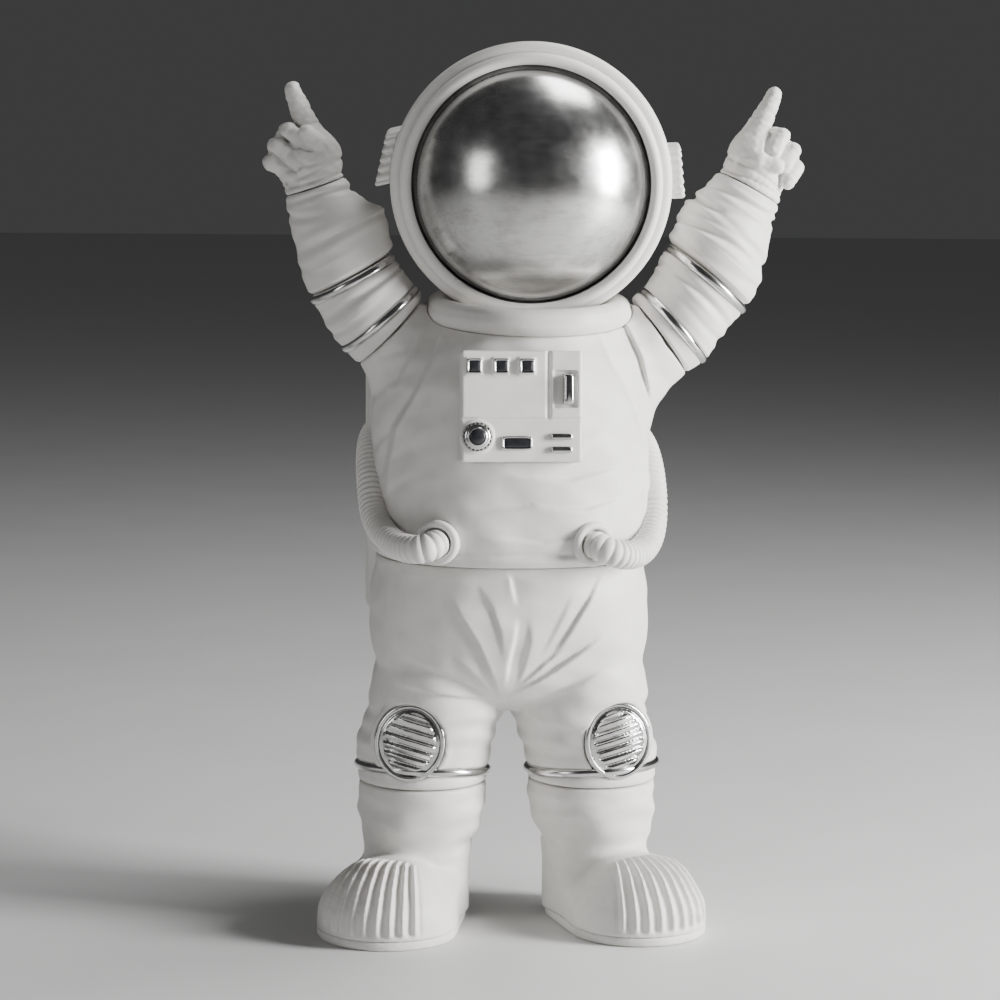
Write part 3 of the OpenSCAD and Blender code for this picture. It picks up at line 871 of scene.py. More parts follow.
@dataclass
class Trousers:
    """Hips and both thighs in one soft piece, with folds that gather at the crotch."""

    step: float = 0.6
    folds: tuple = (
        (((-24.5, 113.5), (-18.5, 102.5), (-13.2, 94.0), (-8.0, 82.0), (-4.6, 74.5)), 1.0, 0.85),
        (((-1.2, 103.5), (-1.8, 97.0), (-3.4, 88.0), (-4.0, 80.0)), -0.95, 1.0),
        (((2.2, 103.0), (2.6, 96.0), (0.6, 86.0), (-1.2, 78.5)), 0.7, 1.1),
        (((-4.5, 119.0), (-3.2, 114.0), (-1.6, 107.0)), -0.7, 0.8),
        (((25.6, 117.0), (21.0, 108.0), (15.0, 98.5), (9.0, 89.0)), 0.9, 0.9),
        (((16.5, 112.0), (13.0, 104.0), (9.0, 96.0), (6.0, 90.0)), 0.4, 1.1),
        (((26.0, 97.0), (18.5, 91.5), (9.5, 85.0), (1.5, 80.0), (-2.5, 77.5)), 1.35, 0.9),
        (((14.0, 93.5), (8.5, 89.0), (2.6, 83.2), (-1.0, 79.0)), 0.8, 0.75),
        (((-36.5, 89.3), (-27.0, 86.0), (-18.0, 82.6), (-9.0, 77.0), (-5.0, 74.5)), 1.0, 1.0),
        (((-21.5, 90.6), (-15.5, 85.4), (-9.8, 79.5), (-5.4, 75.0)), 0.8, 0.9),
        (((-38.0, 80.0), (-24.8, 77.6), (-12.7, 75.6), (-3.7, 74.6)), 1.1, 1.0),
        (((-3.6, 75.5), (1.3, 70.0), (9.2, 66.6), (19.0, 65.6), (30.0, 67.5)), 0.95, 1.0),
        (((-14.0, 113.5), (-9.3, 106.1), (-6.8, 98.4), (-5.6, 90.0)), 0.6, 1.1),
        (((29.0, 87.0), (20.0, 81.5), (10.0, 77.2), (1.0, 75.0)), 0.6, 1.3),
    )

    def form(self, clay: Clay) -> np.ndarray:
        """The undressed volume.

        Args:
            clay: the sampled block.

        Returns:
            The distance to the volume.
        """
        p = PLAN
        w, d, c = p.body_w, p.body_d, p.crotch_z
        hips = column(clay, [
            (c - 6, 2, 2, 0, 0, 2), (c - 1, w * 0.32, d * 0.28, 0, 0, 2),
            (c + 2, w * 0.6, d * 0.48, 0, 0, 2.2),
            (c + 7, w * 0.85, d * 0.65, 0, 0, 2.3), (c + 14, w * 0.97, d * 0.79, 0, 0, 2.4),
            (c + 24, w * 1.01, d * 0.87, 0, 0, 2.4), (c + 36, w * 1.0, d * 0.9, 0, 0, 2.3),
            (p.hem_z, w * 0.965, d * 0.9, 0, 0, 2.2)], 5.0)
        whole = np.maximum(hips * 0.9, c - 2 - clay.z)
        inward = w * 0.53
        for side in Side:
            s = side.sign
            tuck = 0.8 if side is Side.LEFT else 0.0
            leg = column(clay, [
                (p.boot_top, p.knee_r * 0.985, p.knee_r * 0.985, s * p.leg_offset, 0, 2),
                (p.knee_z - 1.5, p.knee_r * 1.01, p.knee_r * 1.01, s * p.leg_offset, 0, 2),
                (p.knee_z, p.knee_r * 0.985, p.knee_r * 0.985, s * p.leg_offset, 0, 2),
                (p.knee_z + 2.5, p.knee_r * 1.035, p.knee_r * 1.035, s * (p.leg_offset - 0.2), 0, 2),
                (p.knee_z + 7, p.knee_r * 1.05, p.knee_r * 1.06, s * (p.leg_offset - 0.6), 0, 2),
                (c - 12, p.knee_r * 1.06, p.knee_r * 1.10, s * (p.leg_offset - 2.0) - tuck, 0, 2),
                (c - 6, p.knee_r * 1.065, p.knee_r * 1.15, s * (p.leg_offset - 3.5) - tuck, 0, 2),
                (c - 1, p.knee_r * 1.075, p.knee_r * 1.22, s * (p.leg_offset - 5.2) - tuck, 0, 2),
                (c + 3, p.knee_r * 1.05, p.knee_r * 1.28, s * inward, 0, 2),
                (c + 14, p.knee_r * 0.94, p.knee_r * 1.35, s * inward, 0, 2)], 1.6)
            leg = common(leg * 0.95, clay.z - (c + 16), 6.0)
            whole = join(whole, leg, 2.0)
        return whole

    def build(self) -> None:
        """Models, dresses and mounts the trousers."""
        p = PLAN
        clay = Clay((-50, -46, p.boot_top - 2), (50, 46, p.hem_z + 2), self.step)
        skin = self.form(clay)
        x, y, z = clay.x, clay.y, clay.z
        front = step_up(-y, 4, 16)
        relief = np.zeros_like(skin)
        for line, depth, width in self.folds:
            relief += crease(clay, line, depth, width) * front
        back = step_up(y, 4, 16)
        for i, (height, depth) in enumerate(((76.0, 0.9), (83.0, 0.7), (66.0, 0.6), (91.0, 0.5))):
            bend = height + 2.2 * np.sin(x / 11.0 + i) - 0.05 * np.abs(x)
            relief -= depth * bell(z - bend, 1.8) * back * step_up(np.abs(x), 2, 9)
        relief -= 1.6 * bell(x, 2.4) * back * step_up(98 - z, 0, 22)
        cloth = waves((x, y, z * 1.6), 26.0, 4) * 0.35 + waves((x, y, z), 11.0, 9) * 0.14
        leg_folds = np.sin(z * 0.95 + 1.4 * np.sin(x / 9.0) + 0.9 * np.sin(y / 8.0 + 2))
        low_leg = step_up(p.crotch_z + 4 - z, 0, 8) * step_up(z - p.knee_z, 3, 8)
        relief += cloth * step_up(z, p.knee_z + 2, p.knee_z + 7) + 0.28 * leg_folds * low_leg
        relief *= step_up(p.hem_z - z, 0.5, 4)
        skin = skin - relief
        for side in Side:
            u, v, w = clay.local(p.knee_pad(side))
            edge = pad_outline(u, v)
            lip = np.sqrt((edge - 2.2) ** 2 + ((w + 0.1 + 0.013 * (u * u + v * v)) * 0.8) ** 2) - 1.0
            skin = join(skin, np.where(np.abs(w) < 9, lip, 9.0), 1.4)
            bed = np.maximum(edge - 1.55, -w - 2.4)
            skin = without(skin, np.where(w < 14, bed, 9.0), 0.4)
            u, v, w = clay.local(p.knee_band(side))
            groove = np.sqrt((np.sqrt(u * u + v * v) - p.knee_r) ** 2 + w * w) - 1.45
            skin = without(skin, groove, 0.5)
        skin = common(skin, z - (p.hem_z - p.gap), 0.6)
        skin = common(skin, p.boot_top + p.gap - z, 0.6)
        for side in Side:
            hole = np.sqrt((x - side.sign * p.leg_offset) ** 2 + y * y) - 8.1
            skin = without(skin, np.maximum(hole, z - (p.boot_top + 14.6)), 0.3)
        plug = np.maximum(np.sqrt(x * x + y * y) - 14.1, p.hem_z - 16.6 - z)
        skin = without(skin, plug, 0.3)
        mount(clay.cast("trousers_cloth", skin), "hips", Slot.SUIT, "trousers")


@dataclass
class KneeGuard:
    """One knee's silver band, slatted pad and the ring that frames it."""

    side: Side
    pitch: float = 2.9

    def build(self) -> None:
        """Models, dresses and mounts the knee guard."""
        p = PLAN
        name = self.side.name_of
        band = [(p.knee_r + 1.45 * math.cos(a), 1.55 * math.sin(a))
                for a in np.linspace(0, 2 * math.pi, 20, endpoint=False)]
        mount(lathe(name("knee_band_metal"), band, p.knee_band(self.side), 160, True), "hips", Slot.SILVER,
              name("knee_band"))
        home = p.knee_pad(self.side)
        low = np.array(home.translation) - 16
        clay = Clay(tuple(low), tuple(low + 32), 0.3)
        u, v, w = clay.local(home)
        edge = pad_outline(u, v)
        dome = np.sqrt(u * u + v * v + (w + 14.6) ** 2) - 18.6
        tilt = v - 0.10 * u * self.side.sign + 0.006 * u * u
        phase = tilt / self.pitch + 0.25
        saw = phase - np.floor(phase)
        slats = 1.15 * np.minimum((saw / 0.70) ** 0.7, ((1 - saw) / 0.30) ** 0.7) - 1.0
        slats = np.where(-edge > 1.6, slats, -0.35) * step_up(-edge, 0.2, 1.0)
        pad = common(dome - slats, edge + 0.05, 0.5)
        pad = common(pad, -w - 2.4, 0.4)
        mount(clay.cast(name("knee_pad_metal"), pad), "hips", Slot.SILVER, name("knee_pad"))
        height = w - (1.75 - 0.012 * (u * u + v * v) * 0.6)
        ring = np.sqrt(np.maximum(np.abs(edge - 0.75) - 0.25, 0) ** 2 + np.maximum(height, 0) ** 2) - 0.5
        ring = np.maximum(ring, -w - 2.3)
        mount(clay.cast(name("knee_pad_ring_metal"), ring), "hips", Slot.SILVER, name("knee_pad_ring"))


@dataclass
class Boot:
    """A boot with its sole: soft calf, round ribbed toe cap and a flat sole with a ledge."""

    side: Side
    toe_r: float = 22.0
    heel_r: float = 17.5
    toe_h: float = 24.0
    sole_h: float = 3.0
    reach: float = 25.0
    ribs: int = 9
    rib_gap: float = 5.3
    rib_back: float = 22.0
    step: float = 0.6

    def outline(self, u: np.ndarray, v: np.ndarray) -> np.ndarray:
        """Distance in plan to the foot's outline.

        Args:
            u: samples across the foot.
            v: samples along the foot, negative towards the toe.

        Returns:
            The distance at each sample.
        """
        share = np.clip(-v / self.reach, 0, 1)
        slope = (self.toe_r - self.heel_r) / self.reach
        share = np.clip(share + slope * np.abs(u) / self.reach, 0, 1)
        radius = self.heel_r + (self.toe_r - self.heel_r) * share
        return np.sqrt(u * u + (v + share * self.reach) ** 2) - radius

    def build(self) -> None:
        """Models, dresses and mounts the boot and its sole."""
        p = PLAN
        s = self.side.sign
        name = self.side.name_of
        foot = p.foot(self.side)
        toe = foot @ Vector((0, -self.reach, 0))
        low = (min(toe.x, s * 30) - 25, toe.y - 25, -1)
        high = (max(toe.x, s * 30) + 25, 26, p.boot_top + 2)
        clay = Clay(low, high, self.step)
        u, v, _ = clay.local(foot)
        x, y, z = clay.x, clay.y, clay.z
        ahead = v + self.reach
        flat = np.sqrt(u * u + ahead * ahead) + 1e-4
        span, tall = flat / (self.toe_r - 0.2), np.maximum(z, 0) / (self.toe_h + 0.2)
        dome = ((span ** 2.4 + tall ** 2.4) ** 0.4167 - 1) * self.toe_r * 0.85
        roof = 16.0 + 5.0 * step_up(v, -self.reach, -6)
        edge = self.outline(u, v)
        body = np.sqrt(np.maximum(edge + 9.4, 0) ** 2 + np.maximum(z - (roof - 9.0), 0) ** 2) - 9.0
        shape = join(dome, body, 2.0)
        calf = column(clay, [
            (0, 17.4, 17.2, s * (p.leg_offset + 2.2), 1.5, 2),
            (12, 17.2, 16.8, s * (p.leg_offset + 2.0), 1.3, 2),
            (20, 17.0, 16.4, s * (p.leg_offset + 1.6), 0.8, 2),
            (26, 17.4, 17.2, s * (p.leg_offset + 1.2), 0.5, 2),
            (31, 19.2, 19.2, s * (p.leg_offset + 0.7), 0.3, 2),
            (36, 20.1, 20.3, s * (p.leg_offset + 0.3), 0.1, 2),
            (p.boot_top - 3, 20.5, 20.5, s * p.leg_offset, 0, 2),
            (p.boot_top, 20.2, 20.2, s * p.leg_offset, 0, 2)], 2.5)
        shape = join(shape, calf * 0.95, 2.6)
        angle = np.degrees(np.arctan2(u, self.rib_back - ahead))
        lane = angle / self.rib_gap
        beat = np.abs(lane - np.round(lane))
        rib = 1.0 * bell(beat, 0.20) - 0.45 * bell(beat - 0.40, 0.14)
        fence = step_up((self.ribs / 2) * self.rib_gap - np.abs(angle), -0.4, 0.6)
        field = step_up(z, 4.0, 6.0) * step_up(-ahead, -1.0, 5.0) * fence
        shape = shape - rib * field
        folds = 0.30 * np.sin(z * 0.75 + 1.6 * np.sin(x / 8.0) + np.sin(y / 7.0 + s))
        soft_part = step_up(z, 20, 27) * step_up(p.boot_top - z, 1, 5)
        cloth = waves((x, y, z * 1.4), 17.0, 21 + s) * 0.38
        shape = shape - (folds + cloth) * soft_part
        shape = shape - 0.12 * waves((x, y, z), 14.0, 31 + s) * step_up(z, 9, 13)
        ankle = 25.5 + 2.0 * np.sin(np.arctan2(y, x - s * 28) * 2 + 1)
        shape = shape + 0.5 * bell(z - ankle, 1.3) * step_up(v, -14, -4)
        shape = common(shape, z - p.boot_top, 0.6)
        shape = common(shape, self.sole_h + 0.02 - z, 0.4)
        hole = np.sqrt((x - s * p.leg_offset) ** 2 + y * y)
        shape = without(shape, np.maximum(hole - 8.1, p.boot_top - 7.4 - z), 0.2)
        shape = without(shape, np.maximum(hole - 10.9, np.abs(z - (p.boot_top - 10.6)) - 3.8), 0.2)
        mount(clay.cast(name("boot_cloth"), shape), name("boot"), Slot.SUIT, name("boot"))
        slab = common(common(edge - 0.1, z - self.sole_h, 0.6), -z, 1.0)
        mount(clay.cast(name("sole_slab"), slab), name("boot"), Slot.SOLE, name("sole"))


# ---------------------------------------------------------------- body


@dataclass
class Jacket:
    """The upper suit body with its hem, chest seams and short sleeve stubs."""

    step: float = 0.6
    seams: tuple = (
        (((-22.0, 194.0), (-26.6, 184.2), (-33.8, 170.2), (-38.8, 161.2), (-41.0, 147.3), (-41.2, 139.2),
          (-37.7, 129.4)), 1.3, 0.75),
        (((23.0, 195.0), (29.5, 180.4), (35.5, 170.3), (39.2, 160.2), (42.2, 148.8), (42.0, 138.0)),
         -1.9, 0.75),
        (((30.6, 200.2), (33.6, 193.4), (38.6, 182.4), (43.0, 166.2)), 1.2, 0.8),
        (((-30.5, 190.0), (-34.5, 181.5), (-38.5, 172.5)), 1.0, 0.8),
        (((26.0, 161.0), (8.0, 157.0), (-14.0, 158.5)), 0.8, 1.2),
        (((34.0, 151.0), (14.0, 146.5), (-6.0, 149.0)), 0.9, 1.3),
        (((38.0, 142.0), (20.0, 137.5), (4.0, 139.0), (-16.0, 137.0)), 0.9, 1.3),
        (((24.0, 130.0), (6.0, 127.5), (-14.0, 129.5)), 0.8, 1.1),
    )
    flank_folds: tuple = ((186.0, 0.4), (176.0, 0.35), (160.0, 0.3), (149.0, 0.3), (139.0, 0.35),
                          (128.0, 0.25))

    def build(self) -> None:
        """Models, dresses and mounts the jacket."""
        p = PLAN
        w, d, hem, tall = p.body_w, p.body_d, p.hem_z, p.neck_z - p.hem_z
        clay = Clay((-56, -48, hem - 2), (66, 48, p.neck_z + 3), self.step)
        x, y, z = clay.x, clay.y, clay.z
        rows = [(0.0, 0.955, 0.955, 0.0, 2.2), (0.03, 0.985, 0.995, 0.0, 2.2), (0.08, 0.985, 1.0, 0.0, 2.2),
                (0.17, 1.0, 1.03, 0.0, 2.2), (0.36, 1.01, 1.02, 0.0, 2.2), (0.55, 1.0, 0.97, 0.0, 2.2),
                (0.72, 0.98, 0.90, 0.4, 2.2), (0.84, 0.91, 0.83, 1.6, 2.1), (0.94, 0.77, 0.76, 3.5, 2.0),
                (1.0, 0.66, 0.70, 4.9, 2.0)]
        rings = [(hem + tall * t, w * a, d * b, cx, 0, e) for t, a, b, cx, e in rows]
        skin = column(clay, rings, 1.8) * 0.95
        for side, reach in ((Side.LEFT, 16.0), (Side.RIGHT, 22.0)):
            u, v, along = clay.local(ArmPlane.of_joint(side, "shoulder_turn").matrix())
            radius = 14.5 - 0.16 * np.minimum(along, 0)
            stub = np.maximum(np.sqrt(u * u + v * v) - radius, -along - reach)
            skin = join(skin, stub, 6.0)
            skin = common(skin, np.where(np.sqrt(u * u + v * v) < 22, along, -9.0), 0.7)
        front = step_up(-y, 0, 10)
        relief = np.zeros_like(skin)
        for line, depth, width in self.seams:
            relief += crease(clay, line, depth, width) * front
        for height, depth in self.flank_folds:
            for side in Side:
                slope = height + 0.45 * (np.abs(y) - 14) + side.sign * 1.5 + 1.2 * np.sin(y / 6.0)
                relief -= depth * bell(z - slope, 1.8) * step_up(side.sign * x, 28, 40)
        relief -= 0.6 * bell(z - (hem + 4.2), 0.8)
        relief += 0.25 * bell(z - (hem + 2.0), 1.2)
        relief += waves((x, y, z * 1.5), 30.0, 2) * 0.45 + waves((x, y, z * 1.8), 12.0, 5) * 0.16
        calm = step_up(z - hem, 0.3, 2.5)
        skin = skin - relief * calm
        mid = p.helmet_mid
        u, v, h = clay.local(p.neck())
        ring = np.sqrt(u * u + v * v)
        drop = p.collar_drop
        skin = join(skin, np.maximum(ring - 27.5, np.abs(h + drop + 4) - 4), 0.3)
        skin = without(skin, ball((x, y, z), mid, p.seat_r), 0.4)
        skin = without(skin, np.sqrt((ring - 28.5) ** 2 + (h + drop) ** 2) - 4.35, 0.3)
        skin = without(skin, np.maximum(ring - 28.5, -drop - h), 0.3)
        skin = without(skin, np.maximum(ring - 6.1, np.abs(h + p.seat_r + 6.7) - 6.8), 0.2)
        skin = without(skin, np.maximum(ring - 8.3, np.abs(h + p.seat_r + 10.0) - 3.7), 0.2)
        a, b, c = clay.local(p.panel())
        skin = without(skin, brick((a, b, c), (0, 0, 6), (18.55, 17.05, 10), 1.0), 0.4)
        axle = np.sqrt(x * x + y * y)
        skin = without(skin, np.maximum(axle - 14.1, z - (hem + 16.4)), 0.2)
        skin = without(skin, np.maximum(axle - 18.7, np.abs(z - (hem + 12.1)) - 4.4), 0.2)
        for side in Side:
            u, v, along = clay.local(ArmPlane.of_joint(side, "shoulder_turn").matrix())
            rod = np.sqrt(u * u + v * v)
            skin = without(skin, np.maximum(rod - 6.1, -along - 11.4), 0.2)
            skin = without(skin, np.maximum(rod - 8.3, np.abs(along + 8.5) - 3.1), 0.2)
        skin = common(skin, hem - z, 0.6)
        mount(clay.cast("jacket_cloth", skin), "torso", Slot.SUIT, "jacket")


@dataclass
class Collar:
    """Soft neck roll between jacket and helmet."""

    radius: float = 28.5
    tube: float = 4.25

    def build(self) -> None:
        """Models, dresses and mounts the collar."""
        around, across = 220, 36
        a = np.linspace(0, 2 * math.pi, around, endpoint=False)[None, :]
        b = np.linspace(0, 2 * math.pi, across, endpoint=False)[:, None]
        pinch = 0.16 * np.sin(a * 9 + 1.2 * np.sin(a * 2)) * np.clip(np.cos(b - 0.4), 0, 1)
        tube = self.tube + pinch - 0.3 * bell(b - 0.35, 0.12)
        ring = self.radius + tube * np.cos(b)
        rings = np.stack([ring * np.cos(a), ring * np.sin(a), tube * np.sin(b) - PLAN.collar_drop],
                         axis=-1)
        mount(skin_grid("collar_roll", carried(rings, PLAN.neck()), True), "torso", Slot.HOSE, "collar")


@dataclass
class ControlPanel:
    """Raised two-part plate on the chest with its silver and dark controls; the button tops carry a painted
    dark reflection.
    """

    width: float = 37.0
    height: float = 34.0
    face: float = 3.4

    def tile(self, name: str, x: float, y: float, size: tuple, levels: list) -> bpy.types.Object:
        """A small block with rounded corners and a stepped or bevelled top.

        Args:
            name: the piece's name.
            x: its middle on the panel.
            y: its middle on the panel.
            size: its width and height.
            levels: rows of (height above the panel's axes, how far inside the outline).

        Returns:
            The block.
        """
        a = np.linspace(0, 2 * math.pi, 72, endpoint=False)
        rings = []
        for level, inset in levels:
            half = (size[0] / 2 - inset, size[1] / 2 - inset)
            c, s = np.cos(a), np.sin(a)
            reach = (np.abs(c) ** 7 + np.abs(s) ** 7) ** (-1 / 7)
            rings.append(np.stack([x + half[0] * c * reach, y + half[1] * s * reach,
                                   np.full_like(a, level)], -1))
        return skin_grid(name, carried(np.array(rings), PLAN.panel()))

    def plate(self) -> None:
        """Models, dresses and mounts the plate."""
        home = PLAN.panel()
        low = np.array(home.translation) + (-20.5, -6, -19.5)
        clay = Clay(tuple(low), tuple(low + (41, 13.5, 39)), 0.3)
        u, v, w = clay.local(home)
        split_y = self.height / 2 - self.height * 0.62
        split_x = self.width * 0.222
        plate = brick((u, v, w), (0, 0, -0.3), (self.width / 2, self.height / 2, self.face + 0.3), 0.8)
        cuts = [
            np.sqrt((v - split_y) ** 2 + (w - self.face) ** 2) - 0.75,
            np.maximum(np.sqrt((u - split_x) ** 2 + (w - self.face) ** 2) - 0.75, split_y - v),
            brick((u, v, w), (self.width * 0.36, self.height * 0.157, 3.7), (3.7, 5.7, 1.5), 0.7),
        ]
        for cut in cuts:
            plate = without(plate, cut, 0.35)
        for share in (-0.395, -0.173, 0.04):
            seat = brick((u, v, w), (self.width * share, self.height * 0.36, self.face),
                         (2.65, 2.65, 0.45), 0.3)
            plate = join(plate, seat, 0.4)
        dial = (self.width * -0.37, self.height * -0.27)
        away = np.sqrt((u - dial[0]) ** 2 + (v - dial[1]) ** 2)
        rim = np.sqrt((away - 4.75) ** 2 + (w - self.face) ** 2) - 0.5
        plate = join(plate, rim, 0.5)
        plate = plate - 0.05 * waves((u + 5.1, v - 6.5, w), 9.0, 3) * step_up(w, 2.0, 3.2)
        plate = common(plate, -4.0 - w, 0.3)
        mount(clay.cast("panel_plate", plate), "torso", Slot.SHELL, "control_panel")

    def dial(self) -> None:
        """Models, dresses and mounts the knurled dial."""
        place_of = place(PLAN.panel(), shift(self.width * -0.37, self.height * -0.27, self.face))
        cap = [(0.3, -0.4), (4.0, -0.4), (4.05, 0.3), (4.0, 1.3), (3.75, 1.75), (3.2, 1.8), (2.9, 1.9),
               (2.75, 2.2), (2.55, 2.3), (2.42, 2.1), (2.4, 1.7), (0.3, 1.7)]
        mount(lathe("panel_dial_cap", cap, place_of, 96), "torso", Slot.SILVER, "panel_dial")
        dark = [(0.25, 1.9), (2.35, 1.9), (2.4, 2.2), (2.1, 2.5), (0.25, 2.6)]
        mount(lathe("panel_dial_pip", dark, place_of, 48), "torso", Slot.DARK)
        maker = Repeater("dial_knurls")
        count = maker.ask("Count", "NodeSocketInt", 20)
        radius = maker.ask("Ring radius", "NodeSocketFloat", 4.0 * MM)
        thick = maker.ask("Bar radius", "NodeSocketFloat", 0.42 * MM)
        circle = maker.node("GeometryNodeMeshCircle", None, {"Vertices": count, "Radius": radius})
        bar = maker.node("GeometryNodeMeshCylinder", None,
                         {"Vertices": 12, "Side Segments": 1, "Radius": thick, "Depth": 1.5 * MM})
        repeat = maker.node("GeometryNodeInstanceOnPoints", None,
                            {"Points": (circle, 0), "Instance": (bar, 0)})
        carrier = bpy.data.objects.new("dial_carrier", bpy.data.meshes.new("dial_carrier"))
        bpy.context.scene.collection.objects.link(carrier)
        knurls = maker.run("panel_dial_knurls", carrier, repeat, Slot.SILVER)
        settle(knurls, place(place_of, shift(0, 0, 0.75)))
        mount(knurls, "torso", Slot.SILVER)

    def build(self) -> None:
        """Models, dresses and mounts the whole panel."""
        self.plate()
        self.dial()
        f = self.face
        for i, share in enumerate((-0.395, -0.173, 0.04)):
            x, y = self.width * share, self.height * 0.36
            button = self.tile(f"panel_button_{i}", x, y, (4.8, 4.8),
                               [(f - 0.2, 0.0), (f + 1.3, 0.0), (f + 1.75, 0.25), (f + 1.8, 0.5),
                                (f + 1.2, 0.75)])
            mount(button, "torso", Slot.SILVER, "panel_buttons")
            # Painted reflection: a near-black face in each button's dished top stands for the dark
            # surroundings the silver would mirror.
            face = self.tile(f"panel_button_face_{i}", x, y, (3.6, 3.6),
                             [(f + 1.0, 0.0), (f + 1.5, 0.1), (f + 1.7, 0.7)])
            mount(face, "torso", Slot.DARK)
        slider = self.tile("panel_slider_bar", self.width * 0.386, self.height * 0.157, (3.3, 9.3),
                           [(2.3, 0), (4.4, 0), (5.1, 0.35), (5.35, 0.9)])
        mount(slider, "torso", Slot.SILVER, "panel_slider")
        x, y = self.width * -0.04, self.height * -0.326
        frame_tile = self.tile("panel_light_frame", x, y, (9.4, 4.3),
                               [(f - 0.2, 0.0), (f + 0.6, 0.0), (f + 0.9, 0.25), (f + 0.9, 0.55),
                                (f + 0.3, 0.7)])
        mount(frame_tile, "torso", Slot.SILVER)
        light = self.tile("panel_light_window", x, y, (8.1, 3.0),
                          [(f + 0.2, 0), (f + 0.6, 0.0), (f + 0.75, 0.4)])
        mount(light, "torso", Slot.DARK, "panel_light")
        for i, share in enumerate((-0.268, -0.385)):
            key = self.tile(f"panel_key_{i}", self.width * 0.33, self.height * share, (6.6, 2.0),
                            [(f - 0.2, 0), (f + 0.8, 0), (f + 1.15, 0.3), (f + 1.2, 0.7)])
            mount(key, "torso", Slot.SILVER, "panel_keys")


def settle(piece: bpy.types.Object, matrix: Matrix) -> None:
    """Bakes a place given in body millimetres into a piece modelled in metres.

    Args:
        piece: the piece, modelled round its own origin.
        matrix: its axes in body millimetres.
    """
    points = np.array([v.co for v in piece.data.vertices]).reshape(-1, 3) / MM
    piece.data.vertices.foreach_set("co", to_row(carried(points, matrix)).astype(np.float32).ravel())
    piece.data.update()


@dataclass
class Hose:
    """A corrugated hose round the flank and its flanged fitting on the belly."""

    side: Side
    radius: float = 4.25
    rings: int = 44

    def path(self) -> np.ndarray:
        """Points along the middle of the hose, from the backpack to the fitting."""
        p = PLAN
        s = self.side.sign
        w, d, hem = p.body_w, p.body_d, p.hem_z
        drop = 4.6 if self.side is Side.LEFT else 1.6
        middle = (s * (w + 0.6), -10, hem + 18)
        first = [(s * (w - 5), d * 0.6, hem + 37), (s * (w + 0.5), d * 0.38, hem + 38),
                 (s * (w + 1.3), 0, hem + 30), middle]
        x, y, z = self.front()
        sag = -0.5 if self.side is Side.LEFT else -4.6
        second = [middle, (s * (w + 0.2), -21, hem + drop + sag), (x + s * 5.6, y - 10.0, z - 3.0),
                  (x - s * 1.2, y + 2.6, z)]
        t = np.linspace(0, 1, 60)[:, None]
        parts = []
        for a, b, c, e in (np.array(first, float), np.array(second, float)):
            parts.append(a * (1 - t) ** 3 + 3 * b * t * (1 - t) ** 2 + 3 * c * t * t * (1 - t) + e * t ** 3)
        whole = np.concatenate([parts[0], parts[1][1:]])
        return whole

    def front(self) -> tuple:
        """Where the hose meets its fitting."""
        if self.side is Side.LEFT:
            return (-27.6, -PLAN.body_d - 0.4, PLAN.hem_z + 8.2)
        return (23.2, -PLAN.body_d - 0.6, PLAN.hem_z + 7.6)

    def build(self) -> None:
        """Models, dresses and mounts the hose and its fitting."""
        name = self.side.name_of
        points = to_row(self.path())
        line = bpy.data.curves.new(name("hose_line"), "CURVE")
        line.dimensions = "3D"
        spline = line.splines.new("POLY")
        spline.points.add(len(points) - 1)
        for point, place_of in zip(spline.points, points):
            point.co = (*place_of, 1.0)
        carrier = bpy.data.objects.new(name("hose_line"), line)
        bpy.context.scene.collection.objects.link(carrier)
        maker = Repeater(name("hose_rings"))
        source = maker.ask("Line", "NodeSocketGeometry", None)
        radius = maker.ask("Radius", "NodeSocketFloat", self.radius * MM)
        depth = maker.ask("Ring depth", "NodeSocketFloat", 0.8 * MM)
        count = maker.ask("Rings", "NodeSocketFloat", float(self.rings))
        samples = maker.ask("Samples", "NodeSocketInt", self.rings * 10 + 1)
        even = maker.node("GeometryNodeResampleCurve", None, {"Curve": source, "Count": samples})
        share = maker.node("GeometryNodeSplineParameter")
        turn = maker.node("ShaderNodeMath", {"operation": "MULTIPLY"}, {0: (share, "Factor"), 1: count})
        turn = maker.node("ShaderNodeMath", {"operation": "MULTIPLY"}, {0: (turn, 0), 1: math.pi})
        wave = maker.node("ShaderNodeMath", {"operation": "SINE"}, {0: (turn, 0)})
        wave = maker.node("ShaderNodeMath", {"operation": "ABSOLUTE"}, {0: (wave, 0)})
        wave = maker.node("ShaderNodeMath", {"operation": "POWER"}, {0: (wave, 0), 1: 0.6})
        wave = maker.node("ShaderNodeMath", {"operation": "SUBTRACT"}, {0: (wave, 0), 1: 0.7})
        wave = maker.node("ShaderNodeMath", {"operation": "MULTIPLY"}, {0: (wave, 0), 1: depth})
        total = maker.node("ShaderNodeMath", {"operation": "ADD"}, {0: (wave, 0), 1: radius})
        section = maker.node("GeometryNodeCurvePrimitiveCircle", {"mode": "RADIUS"},
                             {"Resolution": 28, "Radius": 1.0})
        tube = maker.node("GeometryNodeCurveToMesh", None,
                          {"Curve": (even, 0), "Profile Curve": (section, 0), "Scale": (total, 0),
                           "Fill Caps": True})
        hose = maker.run(name("hose_tube"), carrier, tube, Slot.HOSE)
        hose.data.shade_smooth()
        LOG.info("hose span %s", [round(v, 4) for v in hose.dimensions])
        mount(hose, "torso", Slot.HOSE, name("hose"))
        x, y, z = self.front()
        home = place(shift(x, y, z), spin("Z", self.side.sign * 24), spin("X", 90))
        flange = [(0.3, -7.0), (6.0, -7.0), (6.6, -6.4)]
        flange += arc((5.75, -2.9), 1.25, -50, 180, 22)
        flange += [(4.5, -4.4), (0.3, -4.6)]
        mount(lathe(name("hose_fitting_flange"), flange, home, 96), "torso", Slot.HOSE, name("hose_fitting"))


